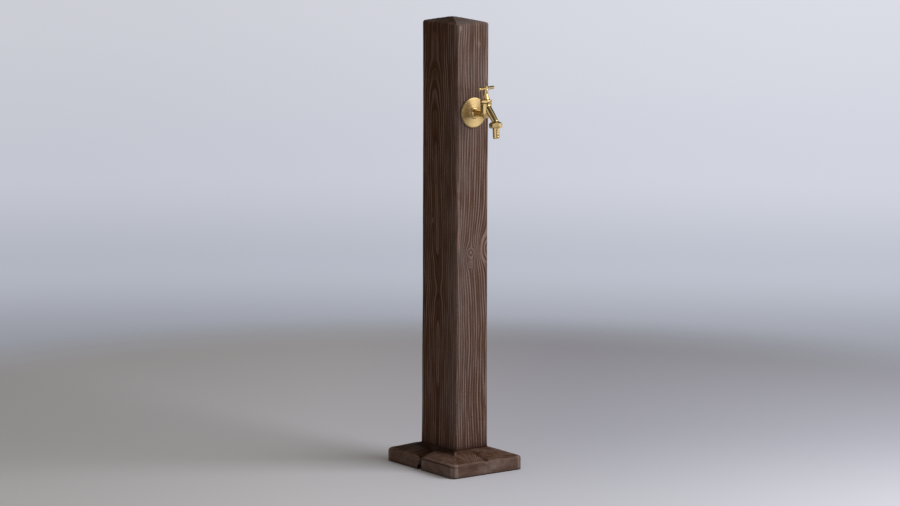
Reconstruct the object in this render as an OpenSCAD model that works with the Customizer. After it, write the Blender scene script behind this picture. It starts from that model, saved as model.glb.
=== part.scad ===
// Garden standpipe: a hollow moulded post with a hipped top on a hollow plinth,
// a feed pipe up its core, and a brass screw-down bib tap on its narrow front face.
// Millimetres, +Z up. The origin is on the ground under the middle of the post,
// and the tap looks towards -Y.

/* [Post] */
// Width of the post, along the face that carries the tap
post_w = 90; // [80:1:110]
// Depth of the post, from the tap face to the back
post_d = 128; // [120:1:170]
// Height of the roof's point above the ground
post_top = 1000; // [900:5:1200]
// Rise of the hipped roof from its eaves to its point
roof_rise = 11; // [8:1:20]
// Solid thickness under the eaves
roof_wall = 16; // [10:1:24]
// Wall thickness of the post
post_wall = 9; // [7:0.5:11]
// Radius of the post's upright edges
post_edge_r = 8; // [4:0.5:9]

/* [Plinth] */
// Width of the plinth, along X
plinth_w = 190; // [172:1:225]
// Depth of the plinth, along Y
plinth_d = 252; // [232:1:295]
// Height of the seat that the post stands on
plinth_h = 47; // [44:1:60]
// Height of the plinth's upright rim
rim_h = 31; // [27:1:34]
// Wall thickness of the plinth
plinth_wall = 9; // [7:0.5:12]
// Radius of the plinth's upright corners
plinth_edge_r = 10; // [5:0.5:14]
// Width of the seat that shows around the post's foot
seat_margin = 2; // [1:0.5:4]
// Thickness of the seat plate
seat_t = 10; // [8:0.5:13]
// Depth of the valley in the middle of each long side
long_valley_depth = 7; // [3:0.5:7.5]
// Half of the width of the valley in each long side
long_valley_half = 15; // [8:1:24]
// Depth of the valley in the middle of each short side
short_valley_depth = 4.5; // [2:0.5:6]
// Half of the width of the valley in each short side
short_valley_half = 12; // [6:1:20]
// Radius of the upright groove in the middle of each rim
rim_groove_r = 5; // [3:0.5:8]
// Depth of the upright groove in the middle of each rim
rim_groove_depth = 2; // [1:0.5:2.5]
// Width of the arched notch at the ground in the left rim
notch_w = 12; // [8:1:16]
// Height of the arched notch
notch_h = 12; // [9:1:16]
// Offset of the notch from the middle of the rim, towards the back
notch_y = 3; // [0:1:20]

/* [Foot fixings] */
// Radius of the four bosses in the post's foot
foot_boss_r = 8; // [7:0.5:9]
// Height of the bosses
foot_boss_h = 40; // [25:1:60]
// Distance of a boss's axis from the two inner walls beside it
foot_boss_inset = 4; // [3:0.5:5]
// Outer radius of the threaded inserts
insert_r = 4.5; // [4:0.25:5]
// Length of the threaded inserts
insert_l = 14; // [10:1:18]
// Thread radius of the foot screws
foot_screw_r = 3; // [2.5:0.25:3.25]
// Radius of the foot screws' heads
foot_head_r = 5.5; // [4.5:0.25:6]
// Height of the foot screws' heads
foot_head_h = 3.5; // [2.5:0.25:4.5]

/* [Feed] */
// Outer radius of the riser pipe
pipe_r = 7.5; // [6:0.25:8]
// Wall of the riser pipe
pipe_wall = 0.7; // [0.5:0.1:1.2]
// Depth that the pipe enters each fitting
socket_depth = 14; // [10:1:18]
// Thread radius of the compression ends
fitting_r = 10.4; // [10:0.1:11]
// Radius of the water way through the fittings
water_r = 5.5; // [4:0.25:6]
// Distance from the post's inner face to the riser's axis
elbow_reach = 27; // [25:1:34]
// Outer radius of the elbow's limbs
elbow_r = 11; // [10.5:0.25:12]
// Length of the elbow's fixing plate, along X
elbow_plate_w = 56; // [52:1:60]
// Height of the elbow's fixing plate
elbow_plate_h = 26; // [24:1:30]
// Thickness of the elbow's fixing plate
elbow_plate_t = 4; // [3:0.5:6]
// Distance between the two elbow screws
elbow_screw_gap = 40; // [36:1:44]
// Thread radius of the elbow screws
elbow_screw_r = 2.5; // [2:0.25:2.75]
// Radius of the elbow screws' heads
elbow_head_r = 4.4; // [3.5:0.1:4.8]
// Height of the elbow screws' heads
elbow_head_h = 2.4; // [1.5:0.1:2.6]
// Radius of the female thread in the water inlet
inlet_r = 9.3; // [8.5:0.1:10]
// Length of the female thread in the water inlet
inlet_l = 15; // [12:0.5:18]
// Outer radius of the inlet's body
inlet_body_r = 13; // [12:0.5:15]
// Thickness of the inlet's back nut
back_nut_h = 6; // [4:0.5:9]
// Width across the flats of the back nut
back_nut_af = 30; // [26:0.5:34]
// Width across the flats of the compression nuts
pipe_nut_af = 27; // [25:0.5:29]
// Length of the thread inside a compression nut
pipe_nut_grip = 12; // [8:0.5:14]
// Length of an olive
olive_l = 4; // [3:0.25:6]
// Outer radius of an olive at its middle
olive_r = 9.4; // [8.8:0.1:9.8]

/* [Tap] */
// Height of the tap's inlet axis above the ground
tap_z = 793; // [600:1:860]
// Distance from the post's face to the spindle's axis
spindle_out = 47.5; // [42:0.5:60]
// Radius of the rosette
rosette_r = 33; // [31:0.5:38]
// Height of the rosette's hub above the post's face
rosette_rise = 8; // [7:0.5:11]
// Height of the rosette's turned edge
rosette_edge = 5; // [3:0.2:6]
// Thickness of the rosette's sheet
rosette_t = 1.4; // [0.8:0.1:1.6]
// Share of the rosette's dome that rises in its outer third
rosette_crown = 0.3; // [0.2:0.05:0.6]
// Thread radius of the tap's tail
tail_r = 8.3; // [7.5:0.1:8.8]
// Length of the tail's thread inside the elbow
tail_grip = 11.4; // [9:0.2:14]
// Thickness of the seal at the end of the tail
tail_seal_t = 1.6; // [1:0.1:2.4]
// Radius of the collar that holds the rosette
collar_r = 9.8; // [9.4:0.1:11]
// Thickness of the collar
collar_t = 2; // [1.5:0.25:3]
// Radius of the tap's horizontal neck
neck_r = 6.6; // [5.8:0.1:7.2]
// Radius of the water way in the neck and the spout's mouth
neck_bore_r = 4; // [3:0.25:4.5]
// Radius of the upright barrel
barrel_r = 11.2; // [9.6:0.1:12]
// Depth of the barrel below the inlet axis
barrel_drop = 9; // [8:0.5:11]
// Radius of the rounding under the barrel
barrel_round = 5; // [2:0.5:6]
// Height of the barrel above the inlet axis
barrel_rise = 24; // [23:0.5:26]
// Radius of the chamber above the valve seat
chamber_r = 7.6; // [7.2:0.1:8]
// Radius of the spout tube
spout_r = 5.6; // [5:0.1:6.2]
// Radius of the bore in the spout tube
spout_bore_r = 3.8; // [3:0.1:4.2]
// Height of the outlet's cone above the bend of the spout
outlet_rise = 2; // [1:0.25:3]
// Height of the outlet's cone
outlet_cone = 3.4; // [2.5:0.1:5]
// Distance from the spindle's axis to the outlet
outlet_out = 34.5; // [32:0.5:42]
// Height above the inlet axis where the spout's line crosses the spindle's axis
spout_start = 21; // [19:0.5:22]
// Lean of the outlet away from the post
outlet_lean = 5; // [0:1:10]

/* [Valve] */
// Radius of the opening in the valve seat
seat_bore_r = 4.5; // [4:0.1:4.8]
// Height of the valve seat's lip above the inlet axis
seat_lip = 6.5; // [6:0.25:7]
// Width of the seat's raised lip
lip_w = 1.2; // [0.8:0.1:1.4]
// Radius of the valve disc
disc_r = 6.2; // [6:0.1:6.6]
// Thickness of the valve disc
disc_t = 2.5; // [2:0.1:3]
// Thickness of the tap washer
washer_t = 2.5; // [2:0.1:3]
// Radius of the valve's guide stem
stem_r = 2.2; // [1.8:0.1:2.5]
// Length of the guide stem
stem_l = 7; // [5:0.5:8]
// Radius of the stud that holds the washer
stud_r = 1.5; // [1.2:0.1:1.7]
// Height of the small nut under the washer
washer_nut_h = 2.2; // [1.6:0.1:2.6]
// Width across the flats of the small nut
washer_nut_af = 5.5; // [5:0.1:6]
// Rise of the spindle for each turn
thread_pitch = 2; // [1.5:0.25:2.5]
// Turns from closed to open
valve_turns = 2; // [1.5:0.25:2]
// Thread radius of the spindle
spindle_thread_r = 5; // [4.8:0.1:5.2]
// Length of the spindle's thread
spindle_thread_l = 11; // [9:0.5:12]
// Radius of the spindle's plain shank
shank_r = 4; // [3.6:0.1:4.1]

/* [Bonnet] */
// Width across the flats of the bonnet
bonnet_af = 22; // [21:0.5:25]
// Thickness of the bonnet's seal
bonnet_seal_t = 1.2; // [0.8:0.1:1.6]
// Radius of the packing chamber
packing_r = 5.8; // [5.6:0.1:6.2]
// Height of the gland packing
packing_h = 2.4; // [1.6:0.1:3]
// Length of the gland nut's thread inside the bonnet
gland_grip = 2.6; // [2:0.1:4]
// Radius of the gland nut at its foot
gland_r = 8.6; // [7.8:0.1:9.4]
// Radius of the gland nut at its top
gland_top_r = 5.2; // [5:0.1:5.6]
// Height of the gland nut's straight foot
gland_foot_h = 1; // [0.6:0.1:1.6]
// Height of the gland nut's waist, where its bell ends
gland_waist_h = 3.2; // [2.4:0.1:4.5]
// Height of the gland nut above the bonnet
gland_h = 8; // [6:0.5:10]

/* [Handle] */
// Gap between the gland nut and the handle's hub when the tap is closed
hub_gap = 4; // [2:0.5:6]
// Radius of the handle's hub
hub_r = 4.9; // [4.8:0.1:5.6]
// Height of the cross bar's axis above the hub's foot
bar_rise = 12.5; // [11:0.5:15]
// Radius of the cross bar
bar_r = 3.1; // [2.8:0.1:3.4]
// Length of the cross bar
bar_l = 56; // [48:1:64]
// Angle of the cross bar from the post's face when the tap is closed
bar_angle = 19; // [0:1:90]
// Side of the spindle's square end
square_s = 5; // [4.4:0.1:5.4]
// Radius of the handle screw
handle_screw_r = 1.5; // [1.2:0.1:1.6]
// Radius of the handle screw's head
handle_head_r = 2.8; // [2.4:0.1:3]
// Height of the handle screw's head
handle_head_h = 1.6; // [1.2:0.1:2]

/* [Hose union] */
// Thread radius of the outlet
outlet_r = 10.4; // [10:0.1:10.8]
// Length of the outlet's thread
outlet_l = 9; // [8:0.5:11]
// Width across the flats of the union nut
union_af = 25; // [24.5:0.5:28]
// Length of the union nut
union_l = 15; // [14.5:0.25:18]
// Height of the sloping shoulder above the union nut's corners
union_shoulder = 5; // [3:0.5:6]
// Angle of the union nut's flats when it is tight
union_angle = 26; // [0:1:59]
// Thickness of the hose washer
hose_washer_t = 2; // [1:0.25:2.5]
// Thickness of the hose tail's collar
tail_collar_t = 1.8; // [1.4:0.1:2.2]
// Radius of the hose tail over its ribs
rib_r = 6.9; // [6.4:0.1:7]
// Depth of the ribs
rib_depth = 0.8; // [0.4:0.1:1]
// Length of one rib
rib_pitch = 3.6; // [3:0.1:4.5]
// Share of a rib that is its straight land
rib_land = 0.3; // [0.2:0.05:0.4]
// Number of ribs
rib_count = 5; // [3:1:7]
// Radius of the hose tail's bore
tail_bore_r = 4.2; // [3:0.1:4.6]

/* [Fits] */
// Radial gap between two threads that are screwed together
thread_gap = 0.1; // [0.05:0.05:0.2]
// Radial gap between a turning shaft and its bore
run_gap = 0.08; // [0.04:0.02:0.1]
// Gap around a piece that passes freely through another
slip_gap = 0.3; // [0.2:0.05:0.5]
// Gap left at the ends of a travel
end_gap = 0.5; // [0.3:0.1:0.8]

/* [Hidden] */
$fn = 96;
// Small extra length that carries a cut past a face
past = 1;
// Height of a fine chamfer on turned edges
bevel = 0.6;
// Thickness of the sheets that a sloped block is drawn between
film = 0.01;

face_y = -post_d / 2;
inner_y = face_y + post_wall;
riser_y = inner_y + elbow_reach;
eaves_z = post_top - roof_rise;
seat_under = plinth_h - seat_t;
foot_x = post_w / 2 - post_wall - foot_boss_inset;
foot_y = post_d / 2 - post_wall - foot_boss_inset;

inlet_foot = seat_under - inlet_l - water_r / 2;
inlet_socket_z = plinth_h + back_nut_h + end_gap + pipe_nut_grip - socket_depth + water_r / 2;
inlet_end_z = inlet_socket_z + socket_depth;
elbow_end_z = tap_z - elbow_r - pipe_nut_grip - socket_depth / 2;
elbow_socket_z = elbow_end_z + socket_depth;
nut_roof = 2;

lift = thread_pitch * valve_turns;
disc_z = seat_lip + washer_t;
spindle_z = disc_z + disc_t;
skirt_z = spindle_z + lift + end_gap;
thread_top = spindle_z + spindle_thread_l;
packing_z = thread_top + lift + end_gap;
gland_z = packing_z + packing_h;
bonnet_z = barrel_rise + bonnet_seal_t;
bonnet_top = gland_z + gland_grip;
gland_top = bonnet_top + gland_h;
hub_z = gland_top + hub_gap;
bar_z = hub_z + bar_rise;
hub_top = bar_z + bar_r + 2 * bevel;
square_z = hub_z + bar_rise / 3;
screw_seat_z = hub_top - handle_head_h - bevel;
spindle_top = screw_seat_z - end_gap - bevel;
screw_tip = square_z + end_gap;

tail_end = post_wall + rosette_rise + tail_grip;
outlet_drop = outlet_out - spout_start;
washer_z = -outlet_l - hose_washer_t;
tail_collar_z = washer_z - tail_collar_t;
union_top = tail_collar_z - thread_gap - nut_roof + union_l;
union_foot = union_top - union_l;
rib_start = union_foot - nut_roof;
tail_tip = rib_start - rib_count * rib_pitch - rib_pitch / 2;

// Stands its children at the crossing of the tap's inlet axis and spindle axis
module at_tap() {
    translate([0, face_y - spindle_out, tap_z]) children();
}

// Stands its children at the bend of the spout, with -Z along the outlet
module at_outlet() {
    at_tap() translate([0, -outlet_out, -outlet_drop]) rotate([-outlet_lean, 0, 0]) children();
}

// Stands its children on the post's face at the inlet axis, with +Z away from the post
module on_face() {
    translate([0, face_y, tap_z]) rotate([90, 0, 0]) children();
}

// Stands its children at the four foot fixings, at height z
module at_feet(z) {
    for (x = [-foot_x, foot_x], y = [-foot_y, foot_y]) translate([x, y, z]) children();
}

// Rectangle with round corners, centred
module round_rect(w, d, r) {
    square([w - 2 * r, d], center = true);
    square([w, d - 2 * r], center = true);
    for (x = [-1, 1], y = [-1, 1]) translate([x * (w / 2 - r), y * (d / 2 - r)]) circle(r);
}

// Ring of the given radii from height 0 to h
module ring(outer, inner, h) {
    difference() {
        cylinder(r = outer, h = h);
        translate([0, 0, -past]) cylinder(r = inner, h = h + 2 * past);
    }
}

// Six-sided bar of width af from height 0 to h, with its corners turned off at both ends
module hex_bar(af, h) {
    corner = af / sqrt(3);
    turned = af / 2;
    drop = (corner - turned) * tan(30);
    intersection() {
        cylinder(r = corner, h = h, $fn = 6);
        rotate_extrude() polygon([[0, 0], [turned, 0], [corner, drop],
            [corner, h - drop], [turned, h], [0, h]]);
    }
}

// Four-sided frustum between two centred rectangles
module frustum(w0, d0, z0, w1, d1, z1) {
    hull() {
        translate([-w0 / 2, -d0 / 2, z0]) cube([w0, d0, film]);
        translate([-w1 / 2, -d1 / 2, z1 - film]) cube([w1, d1, film]);
    }
}

// Post shell with its hipped roof, open at the foot
module post() {
    color("#5a463e") difference() {
        intersection() {
            translate([0, 0, plinth_h]) linear_extrude(post_top - plinth_h)
                round_rect(post_w, post_d, post_edge_r);
            union() {
                translate([-post_w / 2, -post_d / 2, plinth_h]) cube([post_w, post_d, eaves_z - plinth_h]);
                frustum(post_w, post_d, eaves_z - film, 2 * film, 2 * film, post_top);
            }
        }
        difference() {
            translate([0, 0, plinth_h - past]) linear_extrude(eaves_z - roof_wall - plinth_h + past)
                square([post_w - 2 * post_wall, post_d - 2 * post_wall], center = true);
            at_feet(plinth_h - past) cylinder(r = foot_boss_r, h = foot_boss_h + past);
        }
        at_feet(plinth_h - past) cylinder(r = insert_r, h = insert_l + past);
        at_feet(plinth_h) cylinder(r = foot_screw_r + slip_gap, h = insert_l + foot_screw_r);
        on_face() translate([0, 0, -post_wall - past])
            cylinder(r = tail_r + 3 * slip_gap, h = post_wall + 2 * past);
        on_face() for (x = [-1, 1]) translate([x * elbow_screw_gap / 2, 0, -post_wall - past])
            cylinder(r = elbow_screw_r + slip_gap, h = post_wall + 2 * past);
    }
}

// Valley cut: a V that falls with the top's slope from the post's foot to the rim
module valley(run, foot, half, depth) {
    slope = atan((plinth_h - rim_h) / run);
    length = 2 * run;
    intersection() {
        translate([foot, 0, plinth_h]) rotate([0, slope, 0]) translate([-run / 2, 0, 0]) rotate([90, 0, 90])
            linear_extrude(length) polygon([[-2 * half, depth], [0, -depth], [2 * half, depth]]);
        translate([foot - seat_margin + end_gap, -2 * half, 0]) cube([length, 4 * half, 2 * plinth_h]);
    }
}

// Hollow plinth with a hipped top, four valleys, rim grooves and the arched notch
module plinth() {
    seat_w = post_w + 2 * seat_margin;
    seat_d = post_d + 2 * seat_margin;
    long_run = (plinth_w - seat_w) / 2;
    short_run = (plinth_d - seat_d) / 2;
    groove_out = rim_groove_r - rim_groove_depth;
    color("#553f37") difference() {
        intersection() {
            linear_extrude(plinth_h) round_rect(plinth_w, plinth_d, plinth_edge_r);
            union() {
                translate([-plinth_w / 2, -plinth_d / 2, 0]) cube([plinth_w, plinth_d, rim_h]);
                frustum(plinth_w, plinth_d, rim_h - film, seat_w, seat_d, plinth_h);
            }
        }
        for (side = [0, 180]) rotate([0, 0, side]) {
            valley(long_run, seat_w / 2, long_valley_half, long_valley_depth);
            translate([plinth_w / 2 + groove_out, 0, -past]) cylinder(r = rim_groove_r, h = plinth_h);
        }
        for (side = [90, 270]) rotate([0, 0, side]) {
            valley(short_run, seat_d / 2, short_valley_half, short_valley_depth);
            translate([plinth_d / 2 + groove_out, 0, -past]) cylinder(r = rim_groove_r, h = plinth_h);
        }
        translate([0, 0, -past]) linear_extrude(rim_h - plinth_wall - long_valley_depth / 2 + past)
            square([plinth_w - 2 * plinth_wall, plinth_d - 2 * plinth_wall], center = true);
        frustum(plinth_w - 2 * plinth_wall - long_run / 2, plinth_d - 2 * plinth_wall - short_run / 2, 0,
            post_w - 2, post_d - 2, seat_under);
        translate([-plinth_w / 2 - past, notch_y, 0]) rotate([90, 0, 90])
            linear_extrude(plinth_wall + 2 * past) union() {
                translate([-notch_w / 2, -past]) square([notch_w, notch_h - notch_w / 2 + past]);
                translate([0, notch_h - notch_w / 2]) circle(notch_w / 2);
            }
        at_feet(0) cylinder(r = foot_screw_r + slip_gap, h = plinth_h + past);
        translate([0, riser_y, 0]) cylinder(r = fitting_r + slip_gap, h = plinth_h + past);
    }
}

// Threaded bushes moulded into the post's foot
module foot_inserts() {
    color("#b8923e") at_feet(plinth_h) ring(insert_r, foot_screw_r + thread_gap, insert_l);
}

// Pan-head screws that draw the post down on the plinth's seat
module foot_screws() {
    color("silver") at_feet(seat_under) {
        cylinder(r = foot_screw_r, h = seat_t + insert_l - past);
        rotate([180, 0, 0]) rotate_extrude() polygon([[0, 0], [foot_head_r, 0],
            [foot_head_r, foot_head_h / 2], [foot_head_r / 2, foot_head_h], [0, foot_head_h]]);
    }
}

// Female water inlet that hangs under the seat, with its thread up through the plate
module inlet_connector() {
    color("#b8923e") translate([0, riser_y, 0]) difference() {
        union() {
            translate([0, 0, inlet_foot]) cylinder(r = inlet_body_r, h = seat_under - inlet_foot);
            translate([0, 0, seat_under - past]) cylinder(r = fitting_r, h = inlet_end_z - seat_under + past);
        }
        translate([0, 0, inlet_foot - past]) cylinder(r = inlet_r, h = inlet_l + past);
        translate([0, 0, inlet_foot]) cylinder(r = water_r, h = inlet_end_z - inlet_foot);
        translate([0, 0, inlet_socket_z]) cylinder(r = pipe_r + thread_gap, h = socket_depth + past);
    }
}

// Nut that clamps the inlet to the plinth's seat plate
module inlet_back_nut() {
    color("#c09a48") translate([0, riser_y, plinth_h]) difference() {
        hex_bar(back_nut_af, back_nut_h);
        translate([0, 0, -past]) cylinder(r = fitting_r + thread_gap, h = back_nut_h + 2 * past);
    }
}

// Soft ring that the compression nut squeezes on the pipe, standing on height 0
module olive() {
    side = pipe_r + bevel;
    rotate_extrude() polygon([[pipe_r + thread_gap / 2, 0], [side, 0], [olive_r, olive_l / 3],
        [olive_r, 2 * olive_l / 3], [side, olive_l], [pipe_r + thread_gap / 2, olive_l]]);
}

// Compression nut whose roof rests on an olive that stands on height 0
module pipe_nut() {
    translate([0, 0, -pipe_nut_grip]) difference() {
        hex_bar(pipe_nut_af, pipe_nut_grip + olive_l + nut_roof);
        translate([0, 0, -past]) cylinder(r = fitting_r + thread_gap, h = pipe_nut_grip + olive_l + past);
        cylinder(r = pipe_r + slip_gap, h = pipe_nut_grip + olive_l + nut_roof + past);
    }
}

// Olive on the pipe's lower end
module inlet_olive() {
    color("#d0a85a") translate([0, riser_y, inlet_end_z]) olive();
}

// Compression nut on the pipe's lower end
module inlet_pipe_nut() {
    color("#b8923e") translate([0, riser_y, inlet_end_z]) pipe_nut();
}

// Copper pipe from the inlet to the elbow
module riser_pipe() {
    color("#b87333") translate([0, riser_y, inlet_socket_z])
        ring(pipe_r, pipe_r - pipe_wall, elbow_socket_z - inlet_socket_z);
}

// Compression nut on the pipe's upper end
module elbow_pipe_nut() {
    color("#b8923e") translate([0, riser_y, elbow_end_z]) mirror([0, 0, 1]) pipe_nut();
}

// Olive on the pipe's upper end
module elbow_olive() {
    color("#d0a85a") translate([0, riser_y, elbow_end_z]) mirror([0, 0, 1]) olive();
}

// Wall-plate elbow behind the tap: a female socket at the face, a compression end below
module tap_elbow() {
    socket_l = tail_grip + tail_seal_t;
    color("#b8923e") difference() {
        union() {
            translate([0, inner_y, tap_z]) rotate([-90, 0, 0]) {
                linear_extrude(elbow_plate_t) round_rect(elbow_plate_w, elbow_plate_h, elbow_plate_h / 3);
                cylinder(r = elbow_r, h = elbow_reach);
            }
            translate([0, riser_y, tap_z]) sphere(r = elbow_r);
            translate([0, riser_y, elbow_end_z + pipe_nut_grip + end_gap])
                cylinder(r = elbow_r, h = tap_z - elbow_end_z - pipe_nut_grip - end_gap);
            translate([0, riser_y, elbow_end_z]) cylinder(r = fitting_r, h = tap_z - elbow_end_z);
        }
        translate([0, inner_y, tap_z]) rotate([-90, 0, 0]) {
            translate([0, 0, -past]) cylinder(r = tail_r + thread_gap, h = socket_l + past);
            cylinder(r = water_r, h = elbow_reach);
            for (x = [-1, 1]) translate([x * elbow_screw_gap / 2, 0, -past])
                cylinder(r = elbow_screw_r + thread_gap, h = elbow_plate_t + 2 * past);
        }
        translate([0, riser_y, elbow_end_z - past]) cylinder(r = water_r, h = tap_z - elbow_end_z + past);
        translate([0, riser_y, tap_z]) sphere(r = water_r);
        translate([0, riser_y, elbow_end_z - past])
            cylinder(r = pipe_r + thread_gap, h = socket_depth + past);
    }
}

// Screws through the post's face into the elbow's plate, under the rosette
module elbow_screws() {
    shaft = post_wall + elbow_plate_t + past;
    color("silver") on_face() for (x = [-1, 1]) translate([x * elbow_screw_gap / 2, 0, 0]) {
        translate([0, 0, -shaft]) cylinder(r = elbow_screw_r, h = shaft);
        rotate_extrude() polygon([[0, 0], [elbow_head_r, 0], [elbow_head_r, elbow_head_h / 2],
            [elbow_head_r / 2, elbow_head_h], [0, elbow_head_h]]);
    }
}

// Fibre ring between the tap's tail and the bottom of the elbow's socket
module tail_seal() {
    color("firebrick") translate([0, inner_y + tail_grip, tap_z]) rotate([-90, 0, 0])
        ring(tail_r - thread_gap, water_r, tail_seal_t);
}

// Turned brass disc that covers the hole and the screws in the post's face
module rosette() {
    hub = collar_r + past;
    inside = rosette_r - rosette_t;
    crown = rosette_edge + (rosette_rise - rosette_edge) * rosette_crown;
    color("gold") on_face() rotate_extrude() polygon([
        [inside, 0], [rosette_r, 0], [rosette_r, rosette_edge - bevel], [rosette_r - bevel, rosette_edge],
        [(2 * rosette_r + hub) / 3, crown],
        [hub, rosette_rise], [tail_r + slip_gap, rosette_rise], [tail_r + slip_gap, rosette_rise - rosette_t],
        [hub, rosette_rise - rosette_t],
        [(2 * inside + hub) / 3, crown - rosette_t],
        [inside, rosette_edge - rosette_t]]);
}

// Cast tap body: tail, collar, neck, barrel with the valve seat, spout and outlet
module tap_body() {
    neck_l = spindle_out - rosette_rise;
    flare = collar_r - neck_r;
    color("gold") difference() {
        union() {
            on_face() rotate_extrude() polygon([[0, rosette_rise], [collar_r, rosette_rise],
                [collar_r, rosette_rise + collar_t], [neck_r, rosette_rise + collar_t + flare],
                [neck_r, rosette_rise + neck_l], [0, rosette_rise + neck_l]]);
            on_face() translate([0, 0, rosette_rise - tail_end]) cylinder(r = tail_r, h = tail_end + past);
            at_tap() rotate_extrude() polygon([[0, -barrel_drop],
                for (a = [0:22.5:90]) [barrel_r - barrel_round * (1 - sin(a)),
                    -barrel_drop + barrel_round * (1 - cos(a))],
                [barrel_r, barrel_rise], [0, barrel_rise]]);
            at_tap() translate([0, 0, spout_start]) rotate([135, 0, 0])
                translate([0, 0, barrel_r / sqrt(2)])
                cylinder(r = spout_r, h = outlet_out * sqrt(2) - barrel_r / sqrt(2));
            at_outlet() sphere(r = spout_r + bevel);
            at_outlet() rotate_extrude() polygon([[0, outlet_rise], [spout_r + past, outlet_rise],
                [outlet_r, outlet_rise - outlet_cone], [outlet_r, -outlet_l], [0, -outlet_l]]);
        }
        on_face() translate([0, 0, rosette_rise - tail_end - past])
            cylinder(r = neck_bore_r, h = spindle_out - rosette_rise + tail_end + past);
        at_tap() {
            translate([0, 0, -neck_bore_r - bevel])
                cylinder(r = seat_bore_r, h = seat_lip + neck_bore_r + bevel + past);
            translate([0, 0, seat_lip]) cylinder(r = chamber_r, h = barrel_rise - seat_lip + past);
            translate([0, 0, seat_lip - past]) ring(chamber_r, seat_bore_r + lip_w, past + bevel);
            translate([0, 0, spout_start]) rotate([135, 0, 0]) translate([0, 0, chamber_r])
                cylinder(r = spout_bore_r, h = outlet_out * sqrt(2) - chamber_r);
        }
        at_outlet() sphere(r = spout_bore_r + bevel);
        at_outlet() translate([0, 0, -outlet_l - past])
            cylinder(r = spout_bore_r + bevel, h = outlet_l + past);
    }
}

// Fibre ring between the barrel and the bonnet
module bonnet_seal() {
    color("firebrick") at_tap() translate([0, 0, barrel_rise]) ring(barrel_r, chamber_r, bonnet_seal_t);
}

// Bonnet: threaded skirt in the barrel, hexagon above, bore and packing chamber for the spindle
module bonnet() {
    color("gold") at_tap() difference() {
        union() {
            translate([0, 0, skirt_z]) cylinder(r = chamber_r - thread_gap, h = bonnet_z - skirt_z + past);
            translate([0, 0, bonnet_z]) rotate([0, 0, union_angle]) hex_bar(bonnet_af, bonnet_top - bonnet_z);
        }
        translate([0, 0, skirt_z - past]) cylinder(r = spindle_thread_r + run_gap, h = bonnet_top - skirt_z);
        translate([0, 0, packing_z]) cylinder(r = packing_r, h = bonnet_top - packing_z + past);
    }
}

// Packing ring that seals the turning spindle
module gland_packing() {
    color("dimgray") at_tap() translate([0, 0, packing_z])
        ring(packing_r - thread_gap, shank_r + run_gap, packing_h);
}

// Bell-shaped gland nut that squeezes the packing
module gland_nut() {
    color("gold") at_tap() difference() {
        union() {
            translate([0, 0, gland_z]) cylinder(r = packing_r - thread_gap, h = gland_grip + past);
            translate([0, 0, bonnet_top]) rotate_extrude() polygon([
                [0, 0], [gland_r, 0], [gland_r, gland_foot_h], [gland_top_r + past, gland_waist_h],
                [gland_top_r, gland_h - bevel], [gland_top_r - bevel, gland_h], [0, gland_h]]);
        }
        translate([0, 0, gland_z - past]) cylinder(r = shank_r + run_gap, h = gland_top - gland_z + 2 * past);
    }
}

// Valve disc with its guide stem above and its washer stud below
module valve_disc() {
    color("#c8a24c") at_tap() {
        translate([0, 0, disc_z]) cylinder(r = disc_r, h = disc_t);
        translate([0, 0, spindle_z - bevel]) cylinder(r = stem_r, h = stem_l + bevel);
        translate([0, 0, seat_lip - washer_nut_h - bevel])
            cylinder(r = stud_r, h = washer_nut_h + washer_t + 2 * bevel);
    }
}

// Rubber washer that closes on the seat
module tap_washer() {
    color("#222222") at_tap() translate([0, 0, seat_lip]) ring(disc_r, stud_r + thread_gap, washer_t);
}

// Small nut that holds the washer on the valve disc
module washer_nut() {
    color("#c8a24c") at_tap() translate([0, 0, seat_lip - washer_nut_h]) difference() {
        hex_bar(washer_nut_af, washer_nut_h);
        translate([0, 0, -past]) cylinder(r = stud_r + thread_gap, h = washer_nut_h + 2 * past);
    }
}

// Rising spindle: thread, plain shank, square end, guide hole below and screw hole above
module spindle() {
    color("#c8a24c") at_tap() difference() {
        union() {
            translate([0, 0, spindle_z]) cylinder(r = spindle_thread_r, h = spindle_thread_l);
            translate([0, 0, thread_top - past]) cylinder(r = shank_r, h = square_z - thread_top + past);
            rotate([0, 0, bar_angle]) translate([-square_s / 2, -square_s / 2, square_z - past])
                cube([square_s, square_s, spindle_top - square_z + past]);
        }
        translate([0, 0, spindle_z - past]) cylinder(r = stem_r + run_gap, h = stem_l + end_gap + past);
        translate([0, 0, screw_tip - end_gap])
            cylinder(r = handle_screw_r + thread_gap, h = spindle_top - screw_tip + past);
    }
}

// Cross-bar handle on the spindle's square
module tee_handle() {
    end_r = bar_r - bevel;
    half = bar_l / 2;
    socket_s = square_s + 2 * thread_gap;
    color("gold") at_tap() rotate([0, 0, bar_angle]) difference() {
        union() {
            translate([0, 0, hub_z]) rotate_extrude() polygon([[0, 0], [hub_r - bevel, 0], [hub_r, bevel],
                [hub_r, hub_top - hub_z - bevel], [hub_r - bevel, hub_top - hub_z], [0, hub_top - hub_z]]);
            translate([0, 0, bar_z]) rotate([0, 90, 0]) rotate_extrude() polygon([[0, -half], [end_r, -half],
                [bar_r, -half + 2 * bevel], [bar_r, half - 2 * bevel], [end_r, half], [0, half]]);
        }
        translate([0, 0, hub_z - past]) cylinder(r = shank_r + slip_gap / 2, h = square_z - hub_z + past);
        translate([-socket_s / 2, -socket_s / 2, square_z - past])
            cube([socket_s, socket_s, spindle_top - square_z + end_gap + past]);
        cylinder(r = handle_screw_r + slip_gap / 2, h = hub_top + past);
        translate([0, 0, screw_seat_z])
            cylinder(r = handle_head_r + slip_gap / 2, h = hub_top - screw_seat_z + past);
    }
}

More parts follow.
